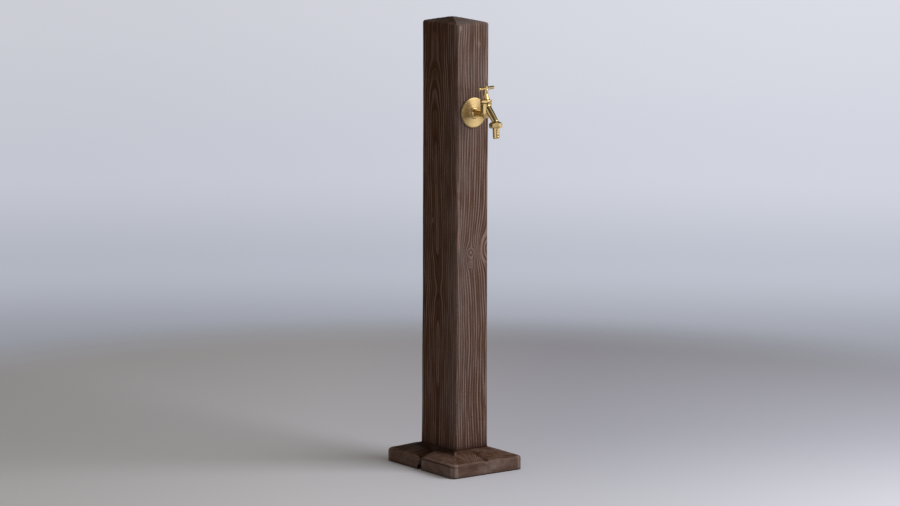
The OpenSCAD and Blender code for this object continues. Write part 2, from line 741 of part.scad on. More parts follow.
// Screw that keeps the handle on the spindle
module handle_screw() {
    color("silver") at_tap() {
        translate([0, 0, screw_tip]) cylinder(r = handle_screw_r, h = screw_seat_z - screw_tip + bevel);
        translate([0, 0, screw_seat_z]) difference() {
            rotate_extrude() polygon([[0, 0], [handle_head_r, 0], [handle_head_r, handle_head_h / 2],
                [handle_head_r - bevel, handle_head_h], [0, handle_head_h]]);
            translate([-handle_head_r, -bevel / 2, handle_head_h - bevel])
                cube([2 * handle_head_r, bevel, past]);
        }
    }
}

// Flat washer between the outlet and the hose tail
module hose_washer() {
    color("#222222") at_outlet() translate([0, 0, washer_z])
        ring(outlet_r - slip_gap, tail_bore_r, hose_washer_t);
}

// Ribbed tail that a hose pushes on
module hose_tail() {
    root_r = rib_r - rib_depth;
    land = rib_pitch * rib_land;
    ribs = [for (i = [0:rib_count - 1]) let (z = rib_start - i * rib_pitch)
        each [[root_r, z], [rib_r, z], [rib_r, z - land]]];
    tip = [[root_r, tail_tip + rib_pitch / 2], [root_r - rib_depth / 2, tail_tip], [0, tail_tip]];
    color("gold") at_outlet() difference() {
        rotate_extrude() polygon(concat([[0, washer_z], [outlet_r - slip_gap, washer_z],
            [outlet_r - slip_gap, tail_collar_z], [root_r, tail_collar_z]], ribs, tip));
        translate([0, 0, tail_tip - past]) cylinder(r = tail_bore_r, h = washer_z - tail_tip + 2 * past);
    }
}

// Nut that draws the hose tail up to the outlet
module union_nut() {
    outside = union_af / sqrt(3) + past;
    mouth = outlet_r + thread_gap + bevel;
    spread = (outside - mouth) / union_shoulder;
    color("gold") at_outlet() translate([0, 0, union_foot]) difference() {
        intersection() {
            rotate([0, 0, union_angle]) hex_bar(union_af, union_l);
            rotate_extrude() polygon([[0, -past], [outside, -past], [outside, union_l - union_shoulder],
                [mouth - past * spread, union_l + past], [0, union_l + past]]);
        }
        translate([0, 0, nut_roof]) cylinder(r = outlet_r + thread_gap, h = union_l);
        translate([0, 0, -past]) cylinder(r = rib_r + slip_gap, h = union_l);
    }
}

post();
plinth();
foot_inserts();
foot_screws();
inlet_connector();
inlet_back_nut();
inlet_olive();
inlet_pipe_nut();
riser_pipe();
elbow_pipe_nut();
elbow_olive();
tap_elbow();
elbow_screws();
tail_seal();
rosette();
tap_body();
bonnet_seal();
bonnet();
gland_packing();
gland_nut();
valve_disc();
tap_washer();
washer_nut();
spindle();
tee_handle();
handle_screw();
hose_washer();
hose_tail();
union_nut();
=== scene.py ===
"""Looks of the garden standpipe: moulded wood-effect post and plinth, brass bib tap, plain studio.

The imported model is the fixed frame, and each piece made here stands where its CAD node stands. Lengths in the
dataclass fields are millimetres, and meshes are written in metres.
"""

import logging
import math
from dataclasses import astuple, dataclass
from enum import Enum
from functools import reduce
from typing import Any, Sequence

import bmesh
import bpy
import numpy as np
from mathutils import Matrix, Quaternion, Vector


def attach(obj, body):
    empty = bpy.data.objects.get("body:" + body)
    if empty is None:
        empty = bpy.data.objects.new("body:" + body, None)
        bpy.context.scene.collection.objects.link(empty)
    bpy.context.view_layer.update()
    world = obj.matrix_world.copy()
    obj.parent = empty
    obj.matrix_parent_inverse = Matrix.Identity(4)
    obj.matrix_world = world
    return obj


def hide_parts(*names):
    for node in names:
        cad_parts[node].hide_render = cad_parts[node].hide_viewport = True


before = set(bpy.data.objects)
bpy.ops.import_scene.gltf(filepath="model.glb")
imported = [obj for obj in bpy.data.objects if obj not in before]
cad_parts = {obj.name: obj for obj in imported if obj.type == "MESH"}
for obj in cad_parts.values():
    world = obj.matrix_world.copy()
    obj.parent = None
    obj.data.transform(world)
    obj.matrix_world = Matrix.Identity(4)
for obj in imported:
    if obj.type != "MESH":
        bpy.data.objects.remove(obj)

MM = 0.001
LOG = logging.getLogger("standpipe")
Colour = tuple[float, float, float, float]
Profile = list[tuple[float, float]]
Corner = tuple[float, float, float]
Material, Mesh, Object = bpy.types.Material, bpy.types.Mesh, bpy.types.Object
Node, NodeTree, Socket = bpy.types.Node, bpy.types.NodeTree, bpy.types.NodeSocket
PerSide = tuple[float, float, float, float]

LINE_RISE = (0.30, 0.72)
LINE_FALL = (0.80, 1.0)
BARB_STEPS = 72
NUT_CORNER = 0.7
NUT_STEP = 1.2
NUT_TURNED = 0.97
NUT_CHAMFER = math.tan(math.radians(30))
NOISE_CELLS = 64
FACE_STEP = 400.0
INLET_HEIGHT = 793.0
SURFACE = {"Color": "Color", "Roughness": "Float", "Height": "Float"}


class Side(Enum):
    """The four upright sides, each with its outward direction and the direction that its columns run in."""

    FRONT = ((0.0, -1.0), (1.0, 0.0))
    RIGHT = ((1.0, 0.0), (0.0, 1.0))
    BACK = ((0.0, 1.0), (-1.0, 0.0))
    LEFT = ((-1.0, 0.0), (0.0, -1.0))

    def halves(self, half_x: float, half_y: float) -> tuple[float, float]:
        """Half length along the side, and half depth across it."""
        return (half_x, half_y) if self in (Side.FRONT, Side.BACK) else (half_y, half_x)


SIDES = list(Side)
FRONT, RIGHT, BACK, LEFT = range(4)


class Run(Enum):
    """How the grain lines run over one half of a plinth side."""

    LEVEL = "level"
    FAN = "fan"
    BURST = "burst"


RUN_RELIEF = {Run.LEVEL: 0.3, Run.FAN: 0.45, Run.BURST: 0.15}


class Wiring:
    """Adds nodes to one tree and links them as they are added."""

    def __init__(self, tree: NodeTree) -> None:
        """Keeps the tree and counts its nodes for their layout."""
        self.tree = tree
        self.count = 0

    def add(self, kind: str, inputs: dict[Any, Any] | None = None, **settings: Any) -> Node:
        """Adds one node.

        Args:
            kind: The node's type name.
            inputs: Values or sockets for its inputs, by name or place.
            settings: Other properties of the node.

        Returns:
            The new node.
        """
        node = self.tree.nodes.new(kind)
        node.location = (200 * (self.count % 10), -300 * (self.count // 10))
        self.count += 1
        for name, value in settings.items():
            setattr(node, name, value)
        self.feed(node, inputs or {})
        return node

    def feed(self, node: Node, inputs: dict[Any, Any]) -> None:
        """Links or sets a node's inputs.

        Args:
            node: The node.
            inputs: Values or sockets for its inputs, by name or place.
        """
        for key, value in inputs.items():
            if isinstance(value, Socket):
                self.tree.links.new(value, node.inputs[key])
            else:
                node.inputs[key].default_value = value

    def math(self, operation: str, first: Any, second: Any = 0.0, clamp: bool = False) -> Socket:
        """Result of a Math node on two values."""
        return self.add("ShaderNodeMath", {0: first, 1: second}, operation=operation, use_clamp=clamp).outputs[0]

    def measure(self, operation: str, first: Any, second: Any = (0.0, 0.0, 0.0)) -> Socket:
        """Number that a Vector Math node gives for two vectors."""
        return self.add("ShaderNodeVectorMath", {0: first, 1: second}, operation=operation).outputs["Value"]

    def times(self, *factors: Any) -> Socket:
        """Product of two or more values."""
        return reduce(lambda product, factor: self.math("MULTIPLY", product, factor), factors)

    def span(self, value: Any, low: float, high: float, start: Any = 0.0, end: Any = 1.0) -> Socket:
        """Smooth step of a value from low to high, given out from start to end."""
        inputs = {0: value, 1: low, 2: high, 3: start, 4: end}
        return self.add("ShaderNodeMapRange", inputs, interpolation_type="SMOOTHSTEP").outputs[0]

    def noise(self, place: Any, scale: Any, detail: float = 2.0, rough: float = 0.5) -> Socket:
        """Height of a Noise Texture at a place."""
        inputs = {"Vector": place, "Scale": scale, "Detail": detail, "Roughness": rough}
        return self.add("ShaderNodeTexNoise", inputs).outputs[0]

    def spot(self, x: Any, y: Any, z: Any = 0.0) -> Socket:
        """Vector from three values."""
        return self.add("ShaderNodeCombineXYZ", {0: x, 1: y, 2: z}).outputs[0]

    def blend(self, share: Any, first: Any, second: Any) -> Socket:
        """Colour between two colours."""
        return self.add("ShaderNodeMix", {0: share, 6: first, 7: second}, data_type="RGBA").outputs[2]

    def bump(self, height: Socket, strength: float, depth: float, **normal: Socket) -> Socket:
        """Normal of a Bump node, whose depth is in millimetres."""
        inputs = {"Strength": strength, "Distance": depth * MM, "Height": height, **normal}
        return self.add("ShaderNodeBump", inputs).outputs[0]


@dataclass
class Group:
    """A node group with its wiring and its two ends."""

    wiring: Wiring
    inside: Node
    outside: Node

    @classmethod
    def new(cls, name: str, kind: str, inputs: dict[str, tuple[str, Any]], outputs: dict[str, str]) -> "Group":
        """Makes an empty group.

        Args:
            name: The group's name.
            kind: Shader or geometry tree type.
            inputs: Socket type and first value of each input, by name.
            outputs: Socket type of each output, by name.

        Returns:
            The group, ready to be wired.
        """
        tree = bpy.data.node_groups.new(name, kind)
        for label, (socket, value) in inputs.items():
            made = tree.interface.new_socket(label, in_out="INPUT", socket_type="NodeSocket" + socket)
            if value is not None:
                made.default_value = value
        for label, socket in outputs.items():
            tree.interface.new_socket(label, in_out="OUTPUT", socket_type="NodeSocket" + socket)
        wiring = Wiring(tree)
        return cls(wiring, wiring.add("NodeGroupInput"), wiring.add("NodeGroupOutput"))

    def take(self, name: str) -> Socket:
        """Socket of one of the group's inputs."""
        return self.inside.outputs[name]

    def give(self, **results: Socket) -> NodeTree:
        """Links the results to the outputs of the same names, and returns the tree."""
        self.wiring.feed(self.outside, results)
        return self.wiring.tree


def geometry_group(name: str, sizes: dict[str, tuple[str, Any]]) -> Group:
    """Makes an empty geometry tree, with geometry and material as inputs beside its sizes.

    Args:
        name: The tree's name.
        sizes: Socket type and first value of each size, by name.

    Returns:
        The tree's group, ready to be wired.
    """
    inputs = {"Geometry": ("Geometry", None), **sizes, "Material": ("Material", None)}
    return Group.new(name, "GeometryNodeTree", inputs, {"Geometry": "Geometry"})


def raised_line(wires: Wiring, ring: Socket, along: Socket, life_scale: Any) -> tuple[Socket, Socket]:
    """Wires the raised line of each growth ring, alike for the relief and for the colour.

    Args:
        wires: The tree to wire in.
        ring: Ring number, which grows by one from line to line.
        along: Place along the grain, in metres.
        life_scale: How quickly a line comes and goes along the grain.

    Returns:
        Sockets of the line's height, from 0 to 1, and of the place between two lines.
    """
    part = wires.math("FRACT", ring)
    line = wires.times(wires.span(part, *LINE_RISE), wires.span(part, *LINE_FALL, 1.0, 0.0))
    place = wires.spot(wires.times(ring, 0.83), wires.times(along, life_scale))
    life = wires.span(wires.noise(place, 1.0), 0.32, 0.62, 0.1, 1.0)
    return wires.times(line, life), part


def raised_grain_tree() -> NodeTree:
    """Geometry tree that lifts the grain lines of a wood-effect moulding along its grain map.

    Returns:
        The tree, with the lines' height and life and the material as inputs.
    """
    group = geometry_group("Raised Grain", {"Ridge Height": ("Float", 0.5 * MM), "Life Scale": ("Float", 9.0)})
    wires = group.wiring
    grain = wires.add("GeometryNodeInputNamedAttribute", {"Name": "grain"}, data_type="FLOAT_VECTOR").outputs[0]
    relief = wires.add("GeometryNodeInputNamedAttribute", {"Name": "relief"}, data_type="FLOAT").outputs[0]
    axes = wires.add("ShaderNodeSeparateXYZ", {0: grain})
    line, _ = raised_line(wires, axes.outputs[0], axes.outputs[1], group.take("Life Scale"))
    lift = wires.times(line, relief, group.take("Ridge Height"))
    normal = wires.add("GeometryNodeInputNormal").outputs[0]
    offset = wires.add("ShaderNodeVectorMath", {0: normal, "Scale": lift}, operation="SCALE").outputs[0]
    moved = wires.add("GeometryNodeSetPosition", {"Geometry": group.take("Geometry"), "Offset": offset}).outputs[0]
    return finish_tree(group, moved)


def barb_tree() -> NodeTree:
    """Geometry tree that stacks the barbs of a hose tail downwards from the origin.

    Returns:
        The tree, with the barbs' count and sizes and the material as inputs.
    """
    sizes = {
        "Count": ("Int", 5),
        "Pitch": ("Float", 3.6 * MM),
        "Land": ("Float", 1.1 * MM),
        "Barb Radius": ("Float", 6.9 * MM),
        "Root Radius": ("Float", 6.1 * MM),
    }
    group = geometry_group("Barbs", sizes)
    wires, take = group.wiring, group.take
    pitch, wide = take("Pitch"), take("Barb Radius")
    taper = wires.math("SUBTRACT", pitch, take("Land"))
    overlap = wires.times(take("Land"), 1.15)
    cone = {"Vertices": BARB_STEPS, "Radius Top": wide, "Radius Bottom": take("Root Radius"), "Depth": taper}
    cylinder = {"Vertices": BARB_STEPS, "Radius": wide, "Depth": overlap}
    drop = wires.spot(0.0, 0.0, wires.times(pitch, -1.0))
    sink = wires.spot(0.0, 0.0, wires.times(overlap, -0.5))
    barb = wires.add("GeometryNodeJoinGeometry")
    for kind, form, shift in (("Cone", cone, drop), ("Cylinder", cylinder, sink)):
        solid = wires.add("GeometryNodeMesh" + kind, form).outputs[0]
        moved = wires.add("GeometryNodeTransform", {"Geometry": solid, "Translation": shift}).outputs[0]
        wires.tree.links.new(moved, barb.inputs[0])
    row = wires.add("GeometryNodeMeshLine", {"Count": take("Count"), "Offset": drop}, mode="OFFSET").outputs[0]
    barbs = wires.add("GeometryNodeInstanceOnPoints", {"Points": row, "Instance": barb.outputs[0]}).outputs[0]
    return finish_tree(group, barbs)


def thread_tree() -> NodeTree:
    """Geometry tree that winds a screw thread's ridge upwards from the origin.

    Returns:
        The tree, with the thread's sizes and the material as inputs.
    """
    sizes = {
        "Radius": ("Float", 10.4 * MM),
        "Turns": ("Float", 4.0),
        "Length": ("Float", 7.0 * MM),
        "Ridge": ("Float", 0.6 * MM),
    }
    group = geometry_group("Thread", sizes)
    wires, take = group.wiring, group.take
    radius = take("Radius")
    winding = {"Resolution": 48, "Rotations": take("Turns"), "Start Radius": radius, "End Radius": radius}
    winding["Height"] = take("Length")
    helix = wires.add("GeometryNodeCurveSpiral", winding).outputs[0]
    ridge = wires.add("GeometryNodeCurvePrimitiveCircle", {"Resolution": 6, "Radius": take("Ridge")}).outputs[0]
    wound = wires.add("GeometryNodeCurveToMesh", {"Curve": helix, "Profile Curve": ridge, "Fill Caps": True})
    return finish_tree(group, wound.outputs[0])


def finish_tree(group: Group, geometry: Socket) -> NodeTree:
    """Ends a geometry tree in Realize Instances and Set Material.

    Args:
        group: The tree's group.
        geometry: What the tree has made.

    Returns:
        The finished tree.
    """
    real = group.wiring.add("GeometryNodeRealizeInstances", {0: geometry}).outputs[0]
    dressed = group.wiring.add("GeometryNodeSetMaterial", {"Geometry": real, "Material": group.take("Material")})
    return group.give(Geometry=dressed.outputs[0])


def grown(tree: NodeTree, values: dict[str, Any], base: Mesh | None = None) -> Mesh:
    """Runs a geometry tree.

    Args:
        tree: The tree to run.
        values: Its inputs, by name.
        base: Mesh that the tree starts from, or none.

    Returns:
        The result as a plain mesh.
    """
    holder = linked(tree.name, base or bpy.data.meshes.new(tree.name))
    modifier = holder.modifiers.new(tree.name, "NODES")
    modifier.node_group = tree
    names = {item.name: item.identifier for item in tree.interface.items_tree if item.in_out == "INPUT"}
    for name, value in values.items():
        modifier[names[name]] = value
    return plain_mesh(holder)


def linked(name: str, data: bpy.types.ID) -> Object:
    """Makes an object in the scene's collection.

    Args:
        name: The object's name.
        data: Its mesh, camera or light.

    Returns:
        The new object.
    """
    made = bpy.data.objects.new(name, data)
    bpy.context.scene.collection.objects.link(made)
    return made


def plain_mesh(holder: Object) -> Mesh:
    """Applies an object's modifiers and removes the object.

    Args:
        holder: Object whose modifiers are run.

    Returns:
        The finished mesh.
    """
    bpy.context.view_layer.update()
    graph = bpy.context.evaluated_depsgraph_get()
    ready = holder.evaluated_get(graph)
    mesh = bpy.data.meshes.new_from_object(ready, preserve_all_data_layers=True, depsgraph=graph)
    bpy.data.objects.remove(holder)
    return mesh


def bored(holder: Object, hollow: Mesh) -> Mesh:
    """Cuts a hollow out of an object and removes the object.

    Args:
        holder: Object that is cut, after its own modifiers have run.
        hollow: Mesh of the space that is cut out.

    Returns:
        The cut mesh.
    """
    cutter = linked("cutter", hollow)
    bore = holder.modifiers.new("bore", "BOOLEAN")
    bore.operation, bore.solver, bore.object = "DIFFERENCE", "EXACT", cutter
    made = plain_mesh(holder)
    bpy.data.objects.remove(cutter)
    return made


@dataclass
class Shell:
    """Points in millimetres, and the faces between them."""

    points: np.ndarray
    faces: list[tuple[int, ...]]

    def placed(self, place: Matrix) -> "Shell":
        """The same shell moved by a matrix in millimetres."""
        grip = np.array(place)
        return Shell(self.points @ grip[:3, :3].T + grip[:3, 3], self.faces)

    @staticmethod
    def of_mesh(mesh: Mesh) -> "Shell":
        """Shell with the points and faces of a mesh.

        Args:
            mesh: A mesh in metres.

        Returns:
            The shell, in millimetres.
        """
        points = np.zeros(len(mesh.vertices) * 3)
        mesh.vertices.foreach_get("co", points)
        return Shell(points.reshape(-1, 3) / MM, [tuple(face.vertices) for face in mesh.polygons])

    def mesh(self, name: str, weld: bool = True) -> Mesh:
        """Mesh in metres.

        Args:
            name: The mesh's name.
            weld: Whether points at one place are merged and normals are turned outwards.

        Returns:
            The new mesh.
        """
        made = bpy.data.meshes.new(name)
        made.from_pydata((self.points * MM).tolist(), [], self.faces)
        if weld:
            work = bmesh.new()
            work.from_mesh(made)
            bmesh.ops.remove_doubles(work, verts=work.verts, dist=0.001 * MM)
            bmesh.ops.recalc_face_normals(work, faces=work.faces)
            work.to_mesh(made)
            work.free()
        return made


def joined(shells: Sequence[Shell]) -> Shell:
    """Joins shells into one.

    Args:
        shells: The shells, which may overlap.

    Returns:
        One shell with all their points and faces.
    """
    faces: list[tuple[int, ...]] = []
    start = 0
    for shell in shells:
        faces += [tuple(start + index for index in face) for face in shell.faces]
        start += len(shell.points)
    return Shell(np.vstack([shell.points for shell in shells]), faces)


def rounded(corners: Sequence[Corner], closed: bool = False, steps: int = 5) -> Profile:
    """Rounds the corners of an outline.

    Args:
        corners: Two coordinates and the rounding's radius of each corner.
        closed: Whether the last corner joins the first.
        steps: Number of short lines in each rounding.

    Returns:
        Points of the rounded outline.
    """
    count = len(corners)
    points: Profile = []
    for index, (x, y, radius) in enumerate(corners):
        if radius <= 0 or (not closed and index in (0, count - 1)):
            points.append((x, y))
            continue
        here = Vector((x, y))
        back = Vector(corners[index - 1][:2]) - here
        ahead = Vector(corners[(index + 1) % count][:2]) - here
        reach = radius / math.tan(back.angle(ahead) / 2)
        reach = min(reach, 0.48 * back.length, 0.48 * ahead.length)
        start, end = here + back.normalized() * reach, here + ahead.normalized() * reach
        for step in range(steps + 1):
            share = step / steps
            bend = start * (1 - share) ** 2 + here * 2 * share * (1 - share) + end * share**2
            points.append((bend.x, bend.y))
    return points


def lathe(profile: Profile, steps: int = 96, ring: bool = False) -> Shell:
    """Turns a profile round the Z axis.

    Args:
        profile: Radius and height of each point. An open profile begins and ends on the axis.
        steps: Number of columns round the axis.
        ring: Whether the profile closes on itself.

    Returns:
        The turned shell.
    """
    angles = np.arange(steps) * 2 * math.pi / steps
    radius, height = np.array(profile).T
    x = np.outer(radius, np.cos(angles))
    y = np.outer(radius, np.sin(angles))
    z = np.outer(height, np.ones(steps))
    return Shell(np.stack([x, y, z], -1).reshape(-1, 3), quads(len(profile), steps, ring))


def turned(corners: Sequence[Corner], columns: int, closed: bool = False, steps: int = 5) -> Shell:
    """Turns an outline, given as for rounded, round the Z axis in so many columns."""
    return lathe(rounded(corners, closed, steps), columns, closed)


def quads(rows: int, columns: int, ring: bool = False) -> list[tuple[int, ...]]:
    """Faces of a grid whose columns close round.

    Args:
        rows: Number of its rows of points.
        columns: Number of its columns.
        ring: Whether its rows close round too.

    Returns:
        Four points for each face.
    """
    faces: list[tuple[int, ...]] = []
    for row in range(rows if ring else rows - 1):
        here, above = row * columns, (row + 1) % rows * columns
        for column in range(columns):
            ahead = (column + 1) % columns
            faces.append((here + column, here + ahead, above + ahead, above + column))
    return faces


def capped(rows: int, columns: int) -> list[tuple[int, ...]]:
    """Faces of a grid whose columns close round, with one face over each end."""
    first, last = range(columns), range((rows - 1) * columns, rows * columns)
    return quads(rows, columns) + [tuple(reversed(first)), tuple(last)]


def nut(
    flats: float, low: float, high: float, inner: Profile, turn: float = 0.0, mouth: float = 0.0, spread: float = 1.73
) -> Shell:
    """Six-sided nut with turned-off corners, round the Z axis.

    Args:
        flats: Width across the flats.
        low: Height of its foot.
        high: Height of its top.
        inner: Bore from the top to the foot, as radius and height.
        turn: Angle of the flats in degrees.
        mouth: Radius at its top, or 0 for the same as at its foot.
        spread: How far its upper corners are turned off outwards for each millimetre of height.

    Returns:
        The nut as one closed shell.
    """
    corner, face = flats / math.sqrt(3), NUT_TURNED * flats / 2
    top = mouth or face
    angles = np.radians(turn + np.arange(6) * 60)
    hexagon = [(corner * math.cos(a), corner * math.sin(a), NUT_CORNER) for a in angles]
    soft = [Vector(point) for point in rounded(hexagon, closed=True, steps=4)]
    outline: list[Vector] = []
    for index, point in enumerate(soft):
        gap = soft[(index + 1) % len(soft)] - point
        parts = max(1, round(gap.length / NUT_STEP))
        outline += [point + gap * step / parts for step in range(parts)]
    columns = []
    for point in outline:
        reach, heading = point.length, math.atan2(point.y, point.x)
        drop = (reach - face) * NUT_CHAMFER
        outer = [(face, low), (reach, low + drop), (reach, high - (reach - top) / spread), (top, high)]
        columns.append([(r * math.cos(heading), r * math.sin(heading), z) for r, z in outer + inner])
    points = np.array(columns).transpose(1, 0, 2)
    return Shell(points.reshape(-1, 3), quads(points.shape[0], points.shape[1], ring=True))


def piece(name: str, mesh: Mesh, finish: Material, sharp: float = 35.0) -> Object:
    """Makes a finished piece at the origin.

    Args:
        name: The piece's name.
        mesh: Its mesh, in place.
        finish: Its material.
        sharp: Angle in degrees above which an edge stays crisp.

    Returns:
        The new object.
    """
    mesh.name = name
    mesh.materials.clear()
    mesh.materials.append(finish)
    mesh.shade_smooth()
    mesh.set_sharp_from_angle(angle=math.radians(sharp))
    return linked(name, mesh)


def stand_in(made: Object, body: str, slot: str, *nodes: str) -> None:
    """Lets a piece ride on a body in the place of CAD nodes, and reports it.

    Args:
        made: The piece.
        body: Body that it rides on.
        slot: Not used.
        nodes: CAD nodes that it replaces.
    """
    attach(made, body)
    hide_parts(*nodes)
    LOG.info("%s: %d faces, rides on %s", made.name, len(made.data.polygons), body)


def bevelled(mesh: Mesh, width: float) -> Mesh:
    """Bevels a mesh's sharp edges.

    Args:
        mesh: The mesh.
        width: Width of the bevel in millimetres.

    Returns:
        The bevelled mesh.
    """
    holder = linked("bevel", mesh)
    bevel = holder.modifiers.new("bevel", "BEVEL")
    bevel.width, bevel.segments = width * MM, 2
    bevel.limit_method, bevel.angle_limit = "ANGLE", math.radians(28)
    return plain_mesh(holder)


def cast(mesh: Mesh, voxel: float, rounds: int, hollow: Mesh | None = None) -> Mesh:
    """Melts overlapping shells into one casting with soft inner corners, and bores it out.

    Args:
        mesh: Mesh of closed shells that overlap.
        voxel: Size of the new faces in millimetres.
        rounds: Number of smoothing rounds.
        hollow: Mesh of the space that is bored out of it.

    Returns:
        The cast mesh.
    """
    holder = linked("cast", mesh)
    remesh = holder.modifiers.new("remesh", "REMESH")
    remesh.mode, remesh.voxel_size = "VOXEL", voxel * MM
    smooth = holder.modifiers.new("smooth", "SMOOTH")
    smooth.factor, smooth.iterations = 0.5, rounds
    return plain_mesh(holder) if hollow is None else bored(holder, hollow)


def value_noise(x: np.ndarray, y: np.ndarray, seed: int) -> np.ndarray:
    """Smooth noise over a plane, the same on each run.

    Args:
        x: Places along the first axis, one noise cell for each whole number.
        y: Places along the second axis.
        seed: Seed of the noise.

    Returns:
        Values from -1 to 1.
    """
    table = np.random.default_rng(seed).uniform(-1, 1, (NOISE_CELLS, NOISE_CELLS))
    column, row = np.floor(x).astype(int), np.floor(y).astype(int)
    across, down = x - column, y - row
    across, down = across**2 * (3 - 2 * across), down**2 * (3 - 2 * down)
    here, ahead = column % NOISE_CELLS, (column + 1) % NOISE_CELLS
    under, over = row % NOISE_CELLS, (row + 1) % NOISE_CELLS
    low = table[here, under] * (1 - across) + table[ahead, under] * across
    high = table[here, over] * (1 - across) + table[ahead, over] * across
    return low * (1 - down) + high * down


def eased(value: np.ndarray, places: Sequence[float], levels: Sequence[float]) -> np.ndarray:
    """Steps smoothly from level to level.

    Args:
        value: Where the steps are read.
        places: Rising places.
        levels: Level at each place.

    Returns:
        Level at each value.
    """
    at, level = np.asarray(places, float), np.asarray(levels, float)
    index = np.clip(np.searchsorted(at, value) - 1, 0, len(at) - 2)
    share = np.clip((value - at[index]) / (at[index + 1] - at[index]), 0, 1)
    return level[index] + (level[index + 1] - level[index]) * share**2 * (3 - 2 * share)


def wood_effect_group() -> NodeTree:
    """Shader group of moulded wood effect: dry-brushed ridges over stained, fibrous hollows, with painted shade and
    painted sheen laid on from the marks.

    Returns:
        The group, which gives colour, roughness and height.
    """
    inputs = {
        **{name: ("Float", 0.0) for name in ("Ring", "Along", "Wear", "Knot", "Shade And Grime", "Dust And Sheen")},
        "Mid": ("Color", (0.1, 0.07, 0.05, 1.0)),
        "Dark": ("Color", (0.05, 0.03, 0.02, 1.0)),
        "Light": ("Color", (0.2, 0.14, 0.12, 1.0)),
        "Pale": ("Color", (0.2, 0.18, 0.17, 1.0)),
        "Line Strength": ("Float", 1.0),
        "Life Scale": ("Float", 9.0),
    }
    group = Group.new("Wood Effect", "ShaderNodeTree", inputs, SURFACE)
    wires, take = group.wiring, group.take
    ring, along = take("Ring"), take("Along")
    line, part = raised_line(wires, ring, along, take("Life Scale"))
    fibre = wires.noise(wires.spot(wires.times(ring, 7.0), wires.times(along, 30.0), 3.0), 1.0, 4.0, 0.65)
    streak = wires.noise(wires.spot(wires.times(ring, 1.7), wires.times(along, 6.0), 7.0), 1.0, 3.0)
    spots = wires.add("ShaderNodeTexCoord").outputs["Object"]
    patch = wires.noise(spots, 14.0, 3.0)
    speck = wires.noise(spots, 420.0, 2.0, 0.6)
    shade = wires.math("ADD", wires.times(fibre, 0.55), wires.times(streak, 0.45))
    stain = wires.blend(wires.span(shade, 0.36, 0.60), take("Dark"), take("Mid"))
    groove = wires.times(wires.span(part, 0.0, 0.26, 1.0, 0.0), wires.span(streak, 0.35, 0.6, 0.15, 0.6))
    stain = wires.blend(groove, stain, take("Dark"))
    rubbed = wires.times(line, take("Line Strength"), wires.span(speck, 0.3, 0.6, 0.55, 1.0))
    worn = wires.times(take("Wear"), wires.span(fibre, 0.34, 0.56), wires.span(patch, 0.35, 0.6, 0.6, 1.2))
    stain = wires.blend(wires.math("ADD", rubbed, worn, clamp=True), stain, take("Light"))
    # The pale mark is dust, and on the post's front mostly a painted sheen.
    dust_and_sheen = wires.times(take("Dust And Sheen"), wires.span(patch, 0.3, 0.66, 0.35, 1.0), wires.span(speck, 0.3, 0.6, 0.5, 1.0))
    stain = wires.blend(dust_and_sheen, stain, take("Pale"))
    # The dark mark is mostly painted shade (at feet, in valleys and grooves, and the post's shadow), with some dirt;
    # with the knots it darkens towards near black.
    deep = wires.math("MAXIMUM", take("Knot"), wires.times(take("Shade And Grime"), wires.span(patch, 0.25, 0.6, 0.7, 1.0)))
    stain = wires.blend(wires.times(deep, 0.85), stain, take("Dark"))
    stain = wires.blend(wires.times(deep, 0.55), stain, (0.004, 0.002, 0.001, 1.0))
    rough = wires.math("ADD", wires.span(fibre, 0.3, 0.7, 0.62, 0.5), wires.times(dust_and_sheen, 0.3))
    rough = wires.math("SUBTRACT", rough, wires.times(rubbed, 0.06))
    height = wires.math("ADD", wires.times(fibre, 0.35), wires.times(line, 0.65))
    return group.give(Color=stain, Roughness=rough, Height=height)


def worn_surface_group() -> NodeTree:
    """Shader group of a handled surface: mottled tint, smudged gloss and fine scratches.

    Returns:
        The group, which gives colour, roughness and height.
    """
    inputs = {
        "Tint": ("Color", (0.8, 0.6, 0.3, 1.0)),
        "Tarnish": ("Color", (0.4, 0.28, 0.12, 1.0)),
        "Tarnish Share": ("Float", 0.3),
        "Gloss Low": ("Float", 0.15),
        "Gloss High": ("Float", 0.35),
        "Mottle Scale": ("Float", 90.0),
    }
    group = Group.new("Worn Surface", "ShaderNodeTree", inputs, SURFACE)
    wires, take = group.wiring, group.take
    spots = wires.add("ShaderNodeTexCoord").outputs["Object"]
    mottle = wires.noise(spots, take("Mottle Scale"), 4.0, 0.6)
    smudge = wires.noise(spots, wires.times(take("Mottle Scale"), 0.4), 2.0)
    drawn = wires.add("ShaderNodeMapping", {"Vector": spots, "Scale": (2600.0, 2600.0, 160.0)}).outputs[0]
    scratch = wires.noise(drawn, 1.0, 2.0, 0.7)
    stained = wires.times(wires.span(mottle, 0.46, 0.72), take("Tarnish Share"))
    tint = wires.blend(stained, take("Tint"), take("Tarnish"))
    gloss = wires.math("ADD", wires.times(smudge, 0.6), wires.times(scratch, 0.4))
    rough = wires.span(gloss, 0.34, 0.64, take("Gloss Low"), take("Gloss High"))
    height = wires.math("ADD", wires.times(mottle, 0.6), wires.times(scratch, 0.4))
    return group.give(Color=tint, Roughness=rough, Height=height)


def new_material(name: str) -> tuple[Material, Wiring, Node]:
    """Makes an empty node material.

    Args:
        name: The material's name.

    Returns:
        The material, its wiring and its Principled BSDF.
    """
    made = bpy.data.materials.new(name)
    made.use_nodes = True
    made.node_tree.nodes.clear()
    wires = Wiring(made.node_tree)
    shader = wires.add("ShaderNodeBsdfPrincipled")
    wires.add("ShaderNodeOutputMaterial", {"Surface": shader.outputs[0]})
    return made, wires, shader


